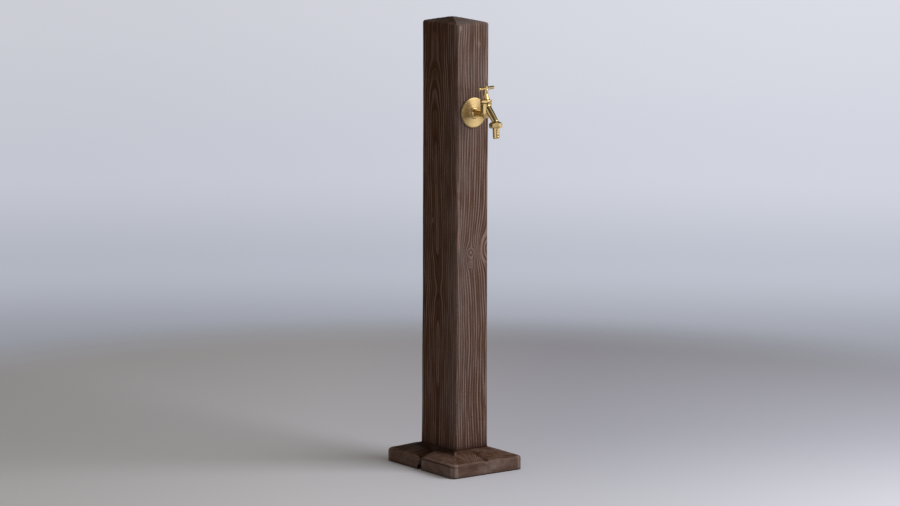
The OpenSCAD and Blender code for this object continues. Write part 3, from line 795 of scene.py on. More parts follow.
@dataclass(frozen=True)
class WoodEffect:
    """Moulded wood-effect finish: its tones, how strong its lines are and how deep its fibres."""

    name: str
    mid: Colour
    dark: Colour
    light: Colour
    pale: Colour
    line: float
    life: float = 9.0
    bump: float = 0.5

    def material(self, group: NodeTree) -> Material:
        """Material that follows the piece's grain map and marks.

        Args:
            group: The shared wood-effect group.

        Returns:
            The new material.
        """
        made, wires, shader = new_material(self.name)
        grain = wires.add("ShaderNodeUVMap", uv_map="grain").outputs[0]
        axes = wires.add("ShaderNodeSeparateXYZ", {0: grain})
        marks = wires.add("ShaderNodeAttribute", attribute_name="marks")
        mark = wires.add("ShaderNodeSeparateColor", {0: marks.outputs["Color"]})
        relief = wires.add("ShaderNodeAttribute", attribute_name="relief").outputs["Fac"]
        inputs = {
            "Ring": axes.outputs[0],
            "Along": axes.outputs[1],
            "Wear": mark.outputs[0],
            "Knot": mark.outputs[1],
            "Shade And Grime": mark.outputs[2],
            "Dust And Sheen": marks.outputs["Alpha"],
            "Mid": self.mid,
            "Dark": self.dark,
            "Light": self.light,
            "Pale": self.pale,
            "Line Strength": wires.times(relief, self.line),
            "Life Scale": self.life,
        }
        effect = wires.add("ShaderNodeGroup", inputs, node_tree=group).outputs
        normal = wires.bump(effect["Height"], self.bump, 0.5)
        wires.feed(shader, {"Base Color": effect["Color"], "Roughness": effect["Roughness"], "Normal": normal})
        wires.feed(shader, {"Specular IOR Level": 0.1})
        return made


@dataclass(frozen=True)
class Worn:
    """Finish of a metal, rubber or fibre piece."""

    name: str
    tint: Colour
    tarnish: Colour
    share: float
    gloss: tuple[float, float]
    metallic: float = 1.0
    mottle: float = 90.0
    bump: float = 0.12
    turned: float = 0.0

    def material(self, group: NodeTree) -> Material:
        """Material on Object coordinates.

        Args:
            group: The shared worn-surface group.

        Returns:
            The new material.
        """
        made, wires, shader = new_material(self.name)
        values = {
            "Tint": self.tint,
            "Tarnish": self.tarnish,
            "Tarnish Share": self.share,
            "Gloss Low": self.gloss[0],
            "Gloss High": self.gloss[1],
            "Mottle Scale": self.mottle,
        }
        effect = wires.add("ShaderNodeGroup", values, node_tree=group).outputs
        normal = wires.bump(effect["Height"], self.bump, 0.1)
        if self.turned:
            normal = self.turning(wires, normal)
            tangent = wires.add("ShaderNodeTangent", direction_type="RADIAL", axis="Y").outputs[0]
            brushed = {"Anisotropic": self.turned, "Anisotropic Rotation": 0.25, "Tangent": tangent}
            wires.feed(shader, brushed)
        wires.feed(shader, {"Base Color": effect["Color"], "Roughness": effect["Roughness"], "Normal": normal})
        wires.feed(shader, {"Metallic": self.metallic})
        return made

    @staticmethod
    def turning(wires: Wiring, normal: Socket) -> Socket:
        """Adds the fine rings that a lathe leaves round the tap's inlet axis.

        Args:
            wires: Wiring of the material.
            normal: Normal before the rings.

        Returns:
            Normal with the rings.
        """
        spots = wires.add("ShaderNodeTexCoord").outputs["Object"]
        shift = {"Vector": spots, "Location": (0.0, 0.0, -INLET_HEIGHT * MM)}
        axes = wires.add("ShaderNodeSeparateXYZ", {0: wires.add("ShaderNodeMapping", shift).outputs[0]})
        radius = wires.measure("LENGTH", wires.spot(axes.outputs[0], axes.outputs[2]))
        rings = wires.noise(wires.spot(wires.times(radius, 2200.0), 0.5, 0.5), 1.0, 3.0, 0.7)
        return wires.bump(rings, 0.04, 0.1, Normal=normal)


@dataclass(frozen=True)
class Knot:
    """Knot in the moulded grain, or a rubbed spot, at a place on one face.

    Attributes:
        across: Distance from the face's middle.
        along: Height.
        radius: Half width.
        stretch: How many times longer it is than wide.
        spread: How far the lines round it are pushed aside, in radii, or 0 for a tight knot.
        dark: How dark its ring is.
    """

    across: float
    along: float
    radius: float
    stretch: float = 1.3
    spread: float = 0.0
    dark: float = 1.0

    def span(self, across: np.ndarray, along: np.ndarray) -> np.ndarray:
        """Distance of places on the face from the knot's middle, in radii."""
        return np.hypot(across - self.across, (along - self.along) / self.stretch) / self.radius


@dataclass(frozen=True)
class Figure:
    """Run of the grain lines over one face.

    Attributes:
        spacing: Distance between two lines.
        seed: Seed of the lines' wander.
        knots: Knots that the lines flow round.
        heart: Height, place across and depth of the pith under the face. Where it is shallow, the rings close in
            pointed arches.
        rubbed: Pale spots where the face is rubbed.
        wander: How far the lines stray sideways.
    """

    spacing: float
    seed: int
    knots: tuple[Knot, ...] = ()
    heart: tuple[Corner, ...] = ()
    rubbed: tuple[Knot, ...] = ()
    wander: float = 2.8

    def rings(self, across: np.ndarray, along: np.ndarray) -> np.ndarray:
        """Counts the growth rings over the face.

        Args:
            across: Distances from the face's middle.
            along: Places along the grain.

        Returns:
            Ring number at each place.
        """
        run = across.astype(float)
        for knot in self.knots:
            gap = run - knot.across
            far = gap**2 + ((along - knot.along) / knot.stretch) ** 2
            if knot.spread:
                run = knot.across + gap * (1 - np.exp(-far / (2 * (knot.spread * knot.radius) ** 2)))
            else:
                run = knot.across + gap * (1 - knot.radius**2 / np.maximum(far, knot.radius**2))
        run = run + self.wander * value_noise(along / 150, across / 60, self.seed)
        run = run + 0.35 * self.wander * value_noise(along / 55, across / 18, self.seed + 1)
        if self.heart:
            heights, middles, depths = zip(*self.heart)
            run = np.hypot(run - eased(along, heights, middles), eased(along, heights, depths))
        number = run / self.spacing
        for knot in self.knots:
            span = knot.span(across, along)
            number = np.where(span < 1, 0.25 + span / 0.42, number)
        return number

    def eyes(self, across: np.ndarray, along: np.ndarray) -> np.ndarray:
        """Finds the dark rings of the knots.

        Args:
            across: Distances from the face's middle.
            along: Places along the grain.

        Returns:
            Share of knot at each place, from 0 to 1.
        """
        share = np.zeros(np.broadcast(across, along).shape)
        for knot in self.knots:
            share = np.maximum(share, knot.dark * np.clip(1 - np.abs(knot.span(across, along) - 0.6) / 0.22, 0, 1))
        return share

    def rubs(self, across: np.ndarray, along: np.ndarray) -> np.ndarray:
        """Finds the rubbed spots and the pale rims of the knots.

        Args:
            across: Distances from the face's middle.
            along: Places along the grain.

        Returns:
            Share of rubbed spot at each place, from 0 to 1.
        """
        share = np.zeros(np.broadcast(across, along).shape)
        for spot in self.rubbed:
            share = np.maximum(share, np.clip(1.7 - 1.5 * spot.span(across, along), 0, 1))
        for knot in self.knots:
            span = knot.span(across, along)
            share = np.maximum(share, 0.9 * np.clip(1 - np.abs(span - 1.0) / 0.22, 0, 1) + 0.7 * (span < 0.3))
        return share


@dataclass(frozen=True)
class Column:
    """Column of a mesh round a rectangle with soft corners: on a side's flat, or in the corner that follows it."""

    side: int
    share: float
    turn: float

    def point(self, half_x: float, half_y: float, radius: float) -> tuple[float, float]:
        """Finds where the column meets a rectangle with soft corners.

        Args:
            half_x: The rectangle's half width.
            half_y: Its half depth.
            radius: Radius of its corners.

        Returns:
            The point's two coordinates.
        """
        (out_x, out_y), (run_x, run_y) = SIDES[self.side].value
        half, depth = SIDES[self.side].halves(half_x, half_y)
        run = self.share * (half - radius) + radius * math.sin(self.turn)
        out = depth - radius + radius * math.cos(self.turn)
        return out_x * out + run_x * run, out_y * out + run_y * run

    def across(self, side: int, half_x: float, half_y: float, radius: float) -> float:
        """Measures the column's distance from a side's middle, round the soft corners.

        Args:
            side: The side's place in the list of sides.
            half_x: The rectangle's half width.
            half_y: Its half depth.
            radius: Radius of its corners.

        Returns:
            The distance, below zero before the middle.
        """
        half, _ = SIDES[side].halves(half_x, half_y)
        if self.side == side:
            return self.share * (half - radius) + radius * self.turn
        return radius - half - radius * (math.pi / 2 - self.turn)


def columns_round(short: int, long: int, bend: int) -> list[Column]:
    """Sets out columns round a rectangle.

    Args:
        short: Number of steps on its front and back.
        long: Number of steps on its other sides.
        bend: Number of steps in each corner.

    Returns:
        The columns in order.
    """
    columns = []
    for side, form in enumerate(SIDES):
        count = short if form in (Side.FRONT, Side.BACK) else long
        columns += [Column(side, 2 * step / count - 1, 0.0) for step in range(count + 1)]
        columns += [Column(side, 1.0, math.pi / 2 * step / bend) for step in range(1, bend)]
    return columns


def side_of(column: Column) -> int:
    """Side that the faces after a column belong to."""
    return column.side if column.turn < math.pi / 4 - 0.001 else (column.side + 1) % 4


@dataclass
class Moulding:
    """A wood-effect moulding as a grid of rows and columns, with its grain map, relief and marks."""

    name: str
    points: np.ndarray
    grain: np.ndarray
    relief: np.ndarray
    marks: np.ndarray

    def mesh(self, ridge: float, life: float, tree: NodeTree, finish: Material) -> Mesh:
        """Builds the moulding, closes its ends and raises its grain.

        Args:
            ridge: Height of the grain lines in millimetres.
            life: How quickly a line comes and goes along the grain.
            tree: The raised-grain tree.
            finish: Material that the tree sets.

        Returns:
            The finished mesh.
        """
        rows, count = self.points.shape[:2]
        base = Shell(self.points.reshape(-1, 3), capped(rows, count)).mesh(self.name, weld=False)
        chart = base.uv_layers.new(name="grain")
        lost = np.tile((0.1, 0.0), (2 * count, 1))
        chart.data.foreach_set("uv", np.vstack([self.grain.reshape(-1, 2), lost]).ravel())
        base.attributes.new("relief", "FLOAT", "POINT").data.foreach_set("value", self.relief.ravel())
        base.attributes.new("marks", "FLOAT_COLOR", "POINT").data.foreach_set("color", self.marks.ravel())
        values = {"Ridge Height": ridge * MM, "Life Scale": life, "Material": finish}
        return grown(tree, values, base)


FRONT_FIGURE = Figure(
    6.6,
    11,
    (
        Knot(-4.0, 485.2, 9.0, 1.05, 1.3, 0.45), Knot(-5.3, 459.0, 4.6, 1.5, 1.3, 0.3),
        Knot(46.0, 491.0, 21.0, 1.6, 0.0, 0.0),
    ),
    rubbed=(
        Knot(16.0, 941.4, 5.6), Knot(-34.0, 978.0, 5.0), Knot(34.6, 890.0, 1.7, 58.0),
        Knot(-22.0, 915.0, 1.7, 34.0), Knot(-38.0, 608.0, 3.2, 12.0), Knot(-36.0, 520.0, 2.6, 16.0),
        Knot(37.0, 150.0, 1.8, 40.0),
    ),
    wander=4.6,
)
RIGHT_FIGURE = Figure(
    6.9,
    53,
    (Knot(20.0, 330.0, 5.4, 1.5),),
    (
        (40.0, 6.0, 0.5), (160.0, 4.0, 6.8), (235.0, 0.0, 15.0), (310.0, -6.0, 6.8),
        (420.0, -8.0, 0.4), (600.0, -6.0, 0.4), (716.0, 0.0, 6.8), (760.0, 3.0, 11.0),
        (820.0, 5.0, 6.8), (1000.0, 7.0, 0.4),
    ),
)
BACK_FIGURE = Figure(7.2, 37, (Knot(9.0, 676.0, 6.4), Knot(-18.0, 214.0, 4.4)))
LEFT_FIGURE = Figure(
    6.8,
    23,
    (Knot(-21.0, 546.4, 4.6, 1.5),),
    (
        (40.0, 1.0, 7.6), (100.0, 0.5, 7.8), (150.0, 0.2, 7.8), (212.0, 0.6, 3.4), (310.0, 1.2, 3.4),
        (358.0, 1.5, 10.2), (399.0, 1.6, 16.0), (440.0, 0.8, 10.2), (500.0, -4.0, 3.4),
        (690.0, -12.0, 3.4), (779.0, -15.0, 10.2), (823.0, -16.0, 17.0), (867.0, -16.0, 23.8),
        (911.0, -15.5, 30.6), (1000.0, -15.0, 31.5),
    ),
)


@dataclass
class Post:
    """Tall hollow post of wood-effect moulding with a low hipped top. Tables by side are in the order of SIDES."""

    half_x: float = 45.0
    half_y: float = 64.0
    edge: float = 8.0
    foot: float = 47.0
    eaves: float = 989.0
    top: float = 999.2
    point_at: tuple[float, float] = (-6.0, 4.0)
    slump: float = 2.0
    corner_slump: float = 3.4
    slump_reach: float = 26.0
    flare: float = 1.3
    eaves_round: float = 6.0
    ridge: float = 0.55
    steps: tuple[int, int, int] = (68, 118, 8)
    knots_between: tuple[float, float] = (436.0, 520.0)
    fine_step: float = 2.4
    row_step: float = 5.4
    line_share: PerSide = (1.15, 0.9, 1.0, 0.9)
    # The wall's pale mark is dust, and on the front mostly a painted sheen.
    wall_dust_and_sheen: PerSide = (1.0, 0.3, 0.3, 0.0)
    corner_dust: PerSide = (0.5, 0.0, 0.0, 0.5)
    corner_reach: PerSide = (22.0, 1.0, 1.0, 24.0)
    top_dust: PerSide = (0.9, 0.5, 0.5, 0.1)
    # Painted shade on the left side: on its roof, and on its wall away from the front corner.
    top_painted_shade: PerSide = (0.0, 0.0, 0.0, 0.4)
    wall_painted_shade: PerSide = (0.0, 0.0, 0.0, 0.1)
    figures: tuple[Figure, ...] = (FRONT_FIGURE, RIGHT_FIGURE, BACK_FIGURE, LEFT_FIGURE)

    def heights(self) -> np.ndarray:
        """Sets out the wall's rows, close together where the front's knots are.

        Returns:
            Heights of the rows.
        """
        rows = [self.foot]
        while rows[-1] < self.eaves - self.eaves_round:
            near = self.knots_between[0] < rows[-1] < self.knots_between[1]
            rows.append(rows[-1] + (self.fine_step if near else self.row_step))
        rows[-1] = self.eaves - self.eaves_round
        return np.array(rows)

    def levels(self) -> list[tuple[float, float, float]]:
        """Sets out all the rows, from the foot to the top.

        Returns:
            Inset, scale and height of each row.
        """
        rows = [(0.0, 1.0, height) for height in self.heights()]
        for turn in np.radians((15, 30, 45, 60, 75)):
            drop = self.eaves_round * (1 - math.sin(turn))
            rows.append((self.eaves_round * (1 - math.cos(turn)), 1.0, self.eaves - drop))
        inset, _, start = rows[-1]
        for share in np.linspace(0.0, 1.0, 30)[1:]:
            soft = 0.7 * math.exp(-(((1 - share) / 0.06) ** 2))
            rows.append((inset, max(1 - share, 0.004), start + (self.top - start) * share - soft))
        return rows

    def build(self, tree: NodeTree, wood: WoodEffect, finish: Material) -> Object:
        """Builds the post.

        Args:
            tree: The raised-grain tree.
            wood: The post's finish.
            finish: The material made from it.

        Returns:
            The post's object.
        """
        columns = columns_round(*self.steps)
        levels = self.levels()
        points = np.zeros((len(levels), len(columns), 3))
        for row, (inset, scale, height) in enumerate(levels):
            loop = [column.point(self.half_x - inset, self.half_y - inset, self.edge - inset) for column in columns]
            points[row, :, :2] = np.array(loop) * scale + np.array(self.point_at) * (1 - scale)
            points[row, :, 2] = height
        points[..., 2] -= self.droop(points)
        points[:, :, :2] += self.waver(points)
        moulding = Moulding("post", points, *self.charts(columns, levels))
        return piece("wood_post", moulding.mesh(self.ridge, wood.life, tree, finish), finish, sharp=60)

    def droop(self, points: np.ndarray) -> np.ndarray:
        """Sinks the eaves on the right side and at the worn front-left corner.

        Args:
            points: Points of the grid.

        Returns:
            How far each point sinks.
        """
        x, y, z = points.transpose(2, 0, 1)
        corner = np.exp(-((x + self.half_x) ** 2 + (y + self.half_y) ** 2) / (2 * self.slump_reach**2))
        sunk = self.slump * np.clip(x / self.half_x, 0, 1) ** 2 + self.corner_slump * corner
        return sunk * np.clip((z - self.eaves) / 12 + 1, 0, 1)

    def waver(self, points: np.ndarray) -> np.ndarray:
        """Makes the walls and edges wander a little, with a slight flare at the foot, as on a sawn baulk.

        Args:
            points: Points of the grid.

        Returns:
            How far each point moves along X and Y.
        """
        x, y, z = points.transpose(2, 0, 1)
        lean = 0.4 * value_noise(z / 130 + 3, np.sign(x) * 2 + np.sign(y) * 5 + 9, 71)
        lean = lean + self.flare * np.exp(-(z - self.foot) / 70) + 0.25 * self.flare * np.exp((z - self.eaves) / 60)
        reach = np.stack([x / self.half_x, y / self.half_y], -1)
        return reach * lean[..., None]

    def charts(
        self, columns: list[Column], levels: list[tuple[float, float, float]]
    ) -> tuple[np.ndarray, np.ndarray, np.ndarray]:
        """Grain map of every face corner, and relief and marks of every point.

        Args:
            columns: Columns of the grid.
            levels: Inset, scale and height of the rows.

        Returns:
            Grain map, relief and marks.
        """
        count, rows = len(columns), len(levels)
        _, scale, height = np.array(levels).T
        along = height + (1 - scale) * self.half_x
        grain = np.zeros((rows - 1, count, 4, 2))
        sizes = (self.half_x, self.half_y, self.edge)
        bend, near = np.zeros(count), np.full(count, 1e3)
        knots, rubbed, steep = np.zeros((rows, count)), np.zeros((rows, count)), np.ones((rows, count))
        for index, column in enumerate(columns):
            place = side_of(column)
            face = SIDES[place]
            figure = self.figures[place]
            first, second = (columns[(index + step) % count].across(place, *sizes) for step in (0, 1))
            for corner, (across, shown) in enumerate(
                ((first, slice(-1)), (second, slice(-1)), (second, slice(1, None)), (first, slice(1, None)))
            ):
                grain[:, index, corner, 0] = figure.rings(across * scale[shown], along[shown])
                grain[:, index, corner, 1] = (along[shown] + FACE_STEP * place) * MM
            half, _ = face.halves(self.half_x, self.half_y)
            bend[index] = half - self.edge * (1 - math.pi / 4) - abs(first)
            if face in (Side.FRONT, Side.LEFT):
                near[index] = half + first * (1 if face is Side.FRONT else -1)
            knots[:, index] = figure.eyes(first * scale, along)
            rubbed[:, index] = figure.rubs(first * scale, along)
            if figure.heart:
                step = max(abs(second - first), 0.1) / figure.spacing
                steep[:-1, index] = np.clip(np.abs(grain[:, index, 1, 0] - grain[:, index, 0, 0]) / step, 0, 1)
        side = np.array([side_of(column) for column in columns])
        calm = np.clip(bend / 5.0, 0, 1)
        relief = np.tile(calm**2 * (3 - 2 * calm) * np.take(self.line_share, side), (rows, 1))
        relief *= 0.35 + 0.65 * steep
        relief[0] = 0
        tall = height[:, None]
        marks = np.zeros((rows, count, 4))
        rub = 0.5 + 0.5 * value_noise(along[:, None] / 34, np.floor(np.arange(count) / 40)[None, :], 83)
        edge = np.exp(-((bend / 3.2) ** 2))[None, :] * (0.04 + 0.22 * rub)
        eave = np.exp(-(((tall - self.eaves) / 3.0) ** 2))
        marks[..., 0] = np.clip(edge + 0.6 * eave * rub + rubbed, 0, 1)
        marks[..., 1] = knots
        # Painted shade at the post's foot, fading upwards within about 9 mm.
        marks[..., 2] = 0.85 * np.exp(-((tall - self.foot) / 9.0))
        # Painted shade on the left side's roof and on its wall away from the front corner.
        marks[..., 2] += np.where(tall > self.eaves, np.take(self.top_painted_shade, side), 0)
        marks[..., 2] += np.take(self.wall_painted_shade, side) * (1 - np.exp(-near / 30))
        # Pale mark on the walls: dust, and on the front mostly a painted sheen that grows paler towards the top as
        # painted light. On the front it fades out within 9 mm of the corner.
        wall = np.take(self.wall_dust_and_sheen, side) * (0.14 + 0.22 * (tall / self.top))
        wall = wall + np.take(self.corner_dust, side) * np.exp(-near / np.take(self.corner_reach, side))
        wall = wall * np.where(side == FRONT, np.clip(near / 9, 0, 1), 1.0)
        dust = np.where(tall > self.eaves - 0.5, np.take(self.top_dust, side), wall)
        marks[..., 3] = dust * (1 - rubbed)
        return grain, relief, marks


@dataclass(frozen=True)
class Valley:
    """V-shaped valley at the middle of a plinth side, and the groove that carries it down the rim.

    Attributes:
        depth: Depth of the valley.
        before: Half width on the side that the columns come from.
        after: Half width on the side that the columns go to.
        groove: Depth of the groove in the rim.
    """

    depth: float
    before: float
    after: float
    groove: float = 1.2


@dataclass
class FootGrid:
    """Grid of the plinth, from the post's foot over the rim to the inside.

    Attributes:
        columns: Columns of the grid.
        slope: Share of the way from the post's foot to the rim, for each row of the slope.
        outer: Number of rows that show outside.
        points: Points of the grid by row and column.
        valley: Depth of the valleys on the slope.
        lip: Radius of the rim's upper edge at each column.
        dent: Depth of the grooves in the rim at each column.
    """

    columns: list[Column]
    slope: np.ndarray
    outer: int
    points: np.ndarray
    valley: np.ndarray
    lip: np.ndarray
    dent: np.ndarray

    @property
    def side(self) -> np.ndarray:
        """Side that each column belongs to."""
        return np.array([side_of(column) for column in self.columns])

    @property
    def bend(self) -> np.ndarray:
        """How far each column is in a corner's bend, from 0 to 1."""
        return np.array([math.sin(2 * column.turn) for column in self.columns])


@dataclass
class Plinth:
    """Flared hollow foot of four corner blocks with valleys between them. Tables by side are in the order of SIDES."""

    half_x: float = 95.0
    half_y: float = 126.0
    edge: float = 10.0
    seat_x: float = 47.0
    seat_y: float = 66.0
    height: float = 47.0
    rim: float = 31.0
    wall: float = 9.0
    seat_under: float = 37.0
    ridge: float = 0.4
    cove: float = 3.5
    notch_w: float = 12.0
    notch_h: float = 12.0
    notch_y: float = 3.0
    seat_edge: float = 5.0
    seat_wall: float = 3.0
    inner_wall: float = 13.0
    groove_w: float = 4.4
    slope_l: float = 58.0
    line_gap: float = 6.2
    burst_x: float = 44.0
    burst_reach: float = 76.0
    burst_turn: float = 0.09
    steps: tuple[int, int, int] = (150, 216, 8)
    # Painted shade on the slope at the post's foot, by side: its strength and its reach down the slope.
    foot_painted_shade: PerSide = (0.2, 0.5, 0.9, 1.0)
    foot_reach: PerSide = (0.1, 0.1, 0.3, 0.32)
    rim_dust: PerSide = (0.66, 0.3, 0.2, 0.42)
    rim_wear: tuple[float, ...] = (0.4, 0.9, 1.0, 1.0, 0.8, 0.4, 0.2)
    # How much the rim's lowest five rows are darkened, from higher up to the ground.
    ground_darkening: tuple[float, ...] = (0.05, 0.1, 0.2, 0.4, 0.6)
    valleys: tuple[Valley, ...] = (
        Valley(3.4, 18.0, 10.0, 0.5),
        Valley(7.0, 13.0, 18.0, 1.8),
        Valley(4.5, 12.0, 12.0),
        Valley(9.5, 32.0, 13.0, 3.6),
    )
    lips: tuple[tuple[float, float], ...] = ((4.4, 6.2), (4.4, 5.0), (5.0, 7.0), (9.0, 2.2))
    crowns: tuple[tuple[float, float], ...] = ((0.2, 0.9), (0.9, 1.6), (1.6, 1.4), (1.6, 0.3))
    runs: tuple[tuple[Run, Run], ...] = (
        (Run.BURST, Run.LEVEL),
        (Run.LEVEL, Run.FAN),
        (Run.FAN, Run.BURST),
        (Run.FAN, Run.LEVEL),
    )

    def build(self, tree: NodeTree, wood: WoodEffect, finish: Material) -> Object:
        """Builds the plinth.

        Args:
            tree: The raised-grain tree.
            wood: The plinth's finish.
            finish: The material made from it.

        Returns:
            The plinth's object.
        """
        grid = self.grid()
        burst = self.burst(grid)
        charts = (self.grain_map(grid), self.relief(grid, burst), self.marks(grid, burst))
        moulding = Moulding("plinth", grid.points[::-1], *(chart[::-1] for chart in charts))
        moulding.grain = moulding.grain[:, :, (3, 2, 1, 0)]
        mesh = moulding.mesh(self.ridge, wood.life, tree, finish)
        return piece("wood_plinth", self.notched(mesh), finish, sharp=48)

    def grid(self) -> FootGrid:
        """Sets out the plinth's grid.

        Returns:
            The grid, with its first row at the post's foot.
        """
        columns = columns_round(*self.steps)
        slope = np.linspace(0.0, 1.0, 42)
        seat = np.array([column.point(self.seat_x, self.seat_y, self.seat_edge) for column in columns])
        side = np.array([side_of(column) for column in columns])
        share = np.array([column.share if side_of(column) == column.side else -1.0 for column in columns])
        run_foot = np.array([SIDES[s].halves(self.seat_x, self.seat_y)[0] for s in side])
        run_rim = np.array([SIDES[s].halves(self.half_x, self.half_y)[0] for s in side])
        across = share * (run_foot + (run_rim - run_foot) * slope[:, None])
        valley, crown = self.hollows(side, share, across, slope)
        lip = self.edge_radius(side, share)
        rim_in = self.loop(columns, lip)
        rows = []
        for row, step in enumerate(slope):
            plan = seat + (rim_in - seat) * step
            rows.append((plan, self.height - (self.height - self.rim) * step - valley[row] + crown[row]))
        tops = rows[-1][1]
        groove = np.array([dip.groove for dip in self.valleys])[side]
        straight = np.array([math.sin(2 * column.turn) < 0.01 for column in columns])
        dent = groove * np.exp(-((across[-1] / self.groove_w) ** 2)) * straight
        for turn in np.radians((15, 30, 45, 60, 75, 90)):
            inset = lip * (1 - math.sin(turn))
            rows.append((self.loop(columns, inset, dent), tops - lip * (1 - math.cos(turn))))
        low = rows[-1][1]
        flat = np.ones(len(columns))
        upright = self.loop(columns, 0 * flat, dent)
        rows += [(upright, low + (1.0 - low) * step) for step in np.linspace(0.0, 1.0, 18)[1:]]
        outer = len(rows)
        inside = self.loop(columns, self.wall * flat)
        seat_in = (self.seat_x - self.seat_wall, self.seat_y - self.seat_wall, self.seat_edge)
        under = [column.point(*seat_in) for column in columns]
        rows.append((self.loop(columns, flat, dent), 0 * flat))
        rows += [(inside, 0 * flat), (inside, self.inner_wall * flat), (np.array(under), self.seat_under * flat)]
        points = np.stack([np.column_stack(row) for row in rows])
        return FootGrid(columns, slope, outer, points, valley, lip, dent)

    def edge_radius(self, side: np.ndarray, share: np.ndarray) -> np.ndarray:
        """Sets the radius of the rim's upper edge, which changes softly from block to block.

        Args:
            side: Side of each column.
            share: Place of each column along its side, from -1 to 1.

        Returns:
            Radius at each column.
        """
        first, second = np.array(self.lips)[side].T
        sharp = np.where(share < 0, first, second)
        count, reach = len(sharp), 14
        near = (np.arange(count)[:, None] + np.arange(-reach, reach + 1)) % count
        return sharp[near].mean(1)

    def loop(self, columns: list[Column], inset: np.ndarray, dent: np.ndarray | None = None) -> np.ndarray:
        """Rim's outline drawn in by an inset, and by a dent at each column.

        Args:
            columns: Columns of the grid.
            inset: Distance that the outline is drawn in at each column.
            dent: Further distance for each column, square to its side.

        Returns:
            Points of the outline.
        """
        outline = []
        for column, part in zip(columns, inset):
            outline.append(column.point(self.half_x - part, self.half_y - part, self.edge - 0.6 * part))
        if dent is None:
            return np.array(outline)
        out = np.array([SIDES[side_of(column)].value[0] for column in columns])
        return np.array(outline) - out * dent[:, None]

    def hollows(
        self, side: np.ndarray, share: np.ndarray, across: np.ndarray, slope: np.ndarray
    ) -> tuple[np.ndarray, np.ndarray]:
        """Depth of the valleys and height of the blocks' crowns on the slope.

        Args:
            side: Side of each column.
            share: Place of each column along its side, from -1 to 1.
            across: Distance from the side's middle, for each row and column.
            slope: Share of the way from the post's foot to the rim, for each row.

        Returns:
            Depths and heights for each row and column.
        """
        depth, before, after, _ = np.array([astuple(dip) for dip in self.valleys])[side].T
        half = np.where(across < 0, before, after)
        fall = np.clip(1 - np.abs(across) / half, 0, 1)
        start = eased(slope, (0.0, 0.12), (0.0, 1.0))[:, None]
        valley = depth * start * fall**1.3
        first, second = np.array(self.crowns)[side].T
        swell = np.where(share < 0, first, second) * np.sin(math.pi * np.clip(np.abs(share), 0, 1)) ** 0.8
        crown = swell * np.sin(math.pi * slope)[:, None] ** 0.9
        return valley, crown - (self.cove * (1 - np.exp(-slope / 0.08)) * (1 - slope) ** 2)[:, None]

    def grain_map(self, grid: FootGrid) -> np.ndarray:
        """Lays the grain lines over the slope and the rim.

        Args:
            grid: The plinth's grid.

        Returns:
            Ring number and place along the grain of every face corner.
        """
        count, rows, steps = len(grid.columns), len(grid.points), len(grid.slope)
        grain = np.full((rows - 1, count, 4, 2), 0.1)
        level = np.concatenate([grid.slope, np.ones(rows - steps)])
        shown = np.arange(grid.outer - 1)
        for index, column in enumerate(grid.columns):
            place = side_of(column)
            run_x, run_y = SIDES[place].value[1]
            for corner, (down, step) in enumerate(((0, 0), (0, 1), (1, 1), (1, 0))):
                at = grid.points[shown + down, (index + step) % count]
                across = at[:, 0] * run_x + at[:, 1] * run_y
                lines = self.lines(self.run_at(column), place, across, at[:, 2], level[shown + down])
                grain[: grid.outer - 1, index, corner] = np.column_stack(lines)
        return grain

    def burst(self, grid: FootGrid) -> np.ndarray:
        """Finds where a burst of lines stands out on the slope.

        Args:
            grid: The plinth's grid.

        Returns:
            Share of the burst, from 0 to 1, for each row of the slope and each column.
        """
        steps = len(grid.slope)
        run_x, run_y = np.array([SIDES[s].value[1] for s in grid.side]).T
        across = np.abs(grid.points[:steps, :, 0] * run_x + grid.points[:steps, :, 1] * run_y)
        bursting = np.array([self.run_at(column) is Run.BURST for column in grid.columns])
        share = eased(grid.slope[:, None], (0.2, 0.4, 0.86, 0.97), (0.0, 1.0, 1.0, 0.2)) * bursting
        return share * eased(across, (0.0, 8.0, 50.0, 60.0), (0.1, 1.0, 1.0, 0.1))

    def relief(self, grid: FootGrid, burst: np.ndarray) -> np.ndarray:
        """Sets how far the grain stands out.

        Args:
            grid: The plinth's grid.
            burst: Share of the burst on the slope.

        Returns:
            Relief of every point.
        """
        steps = len(grid.slope)
        base = np.array([RUN_RELIEF[self.run_at(column)] for column in grid.columns])
        relief = np.zeros(grid.points.shape[:2])
        relief[1:steps] = (base + 1.5 * burst)[1:]
        relief[steps : grid.outer - 1] = 0.12 - 0.1 * grid.bend
        return relief

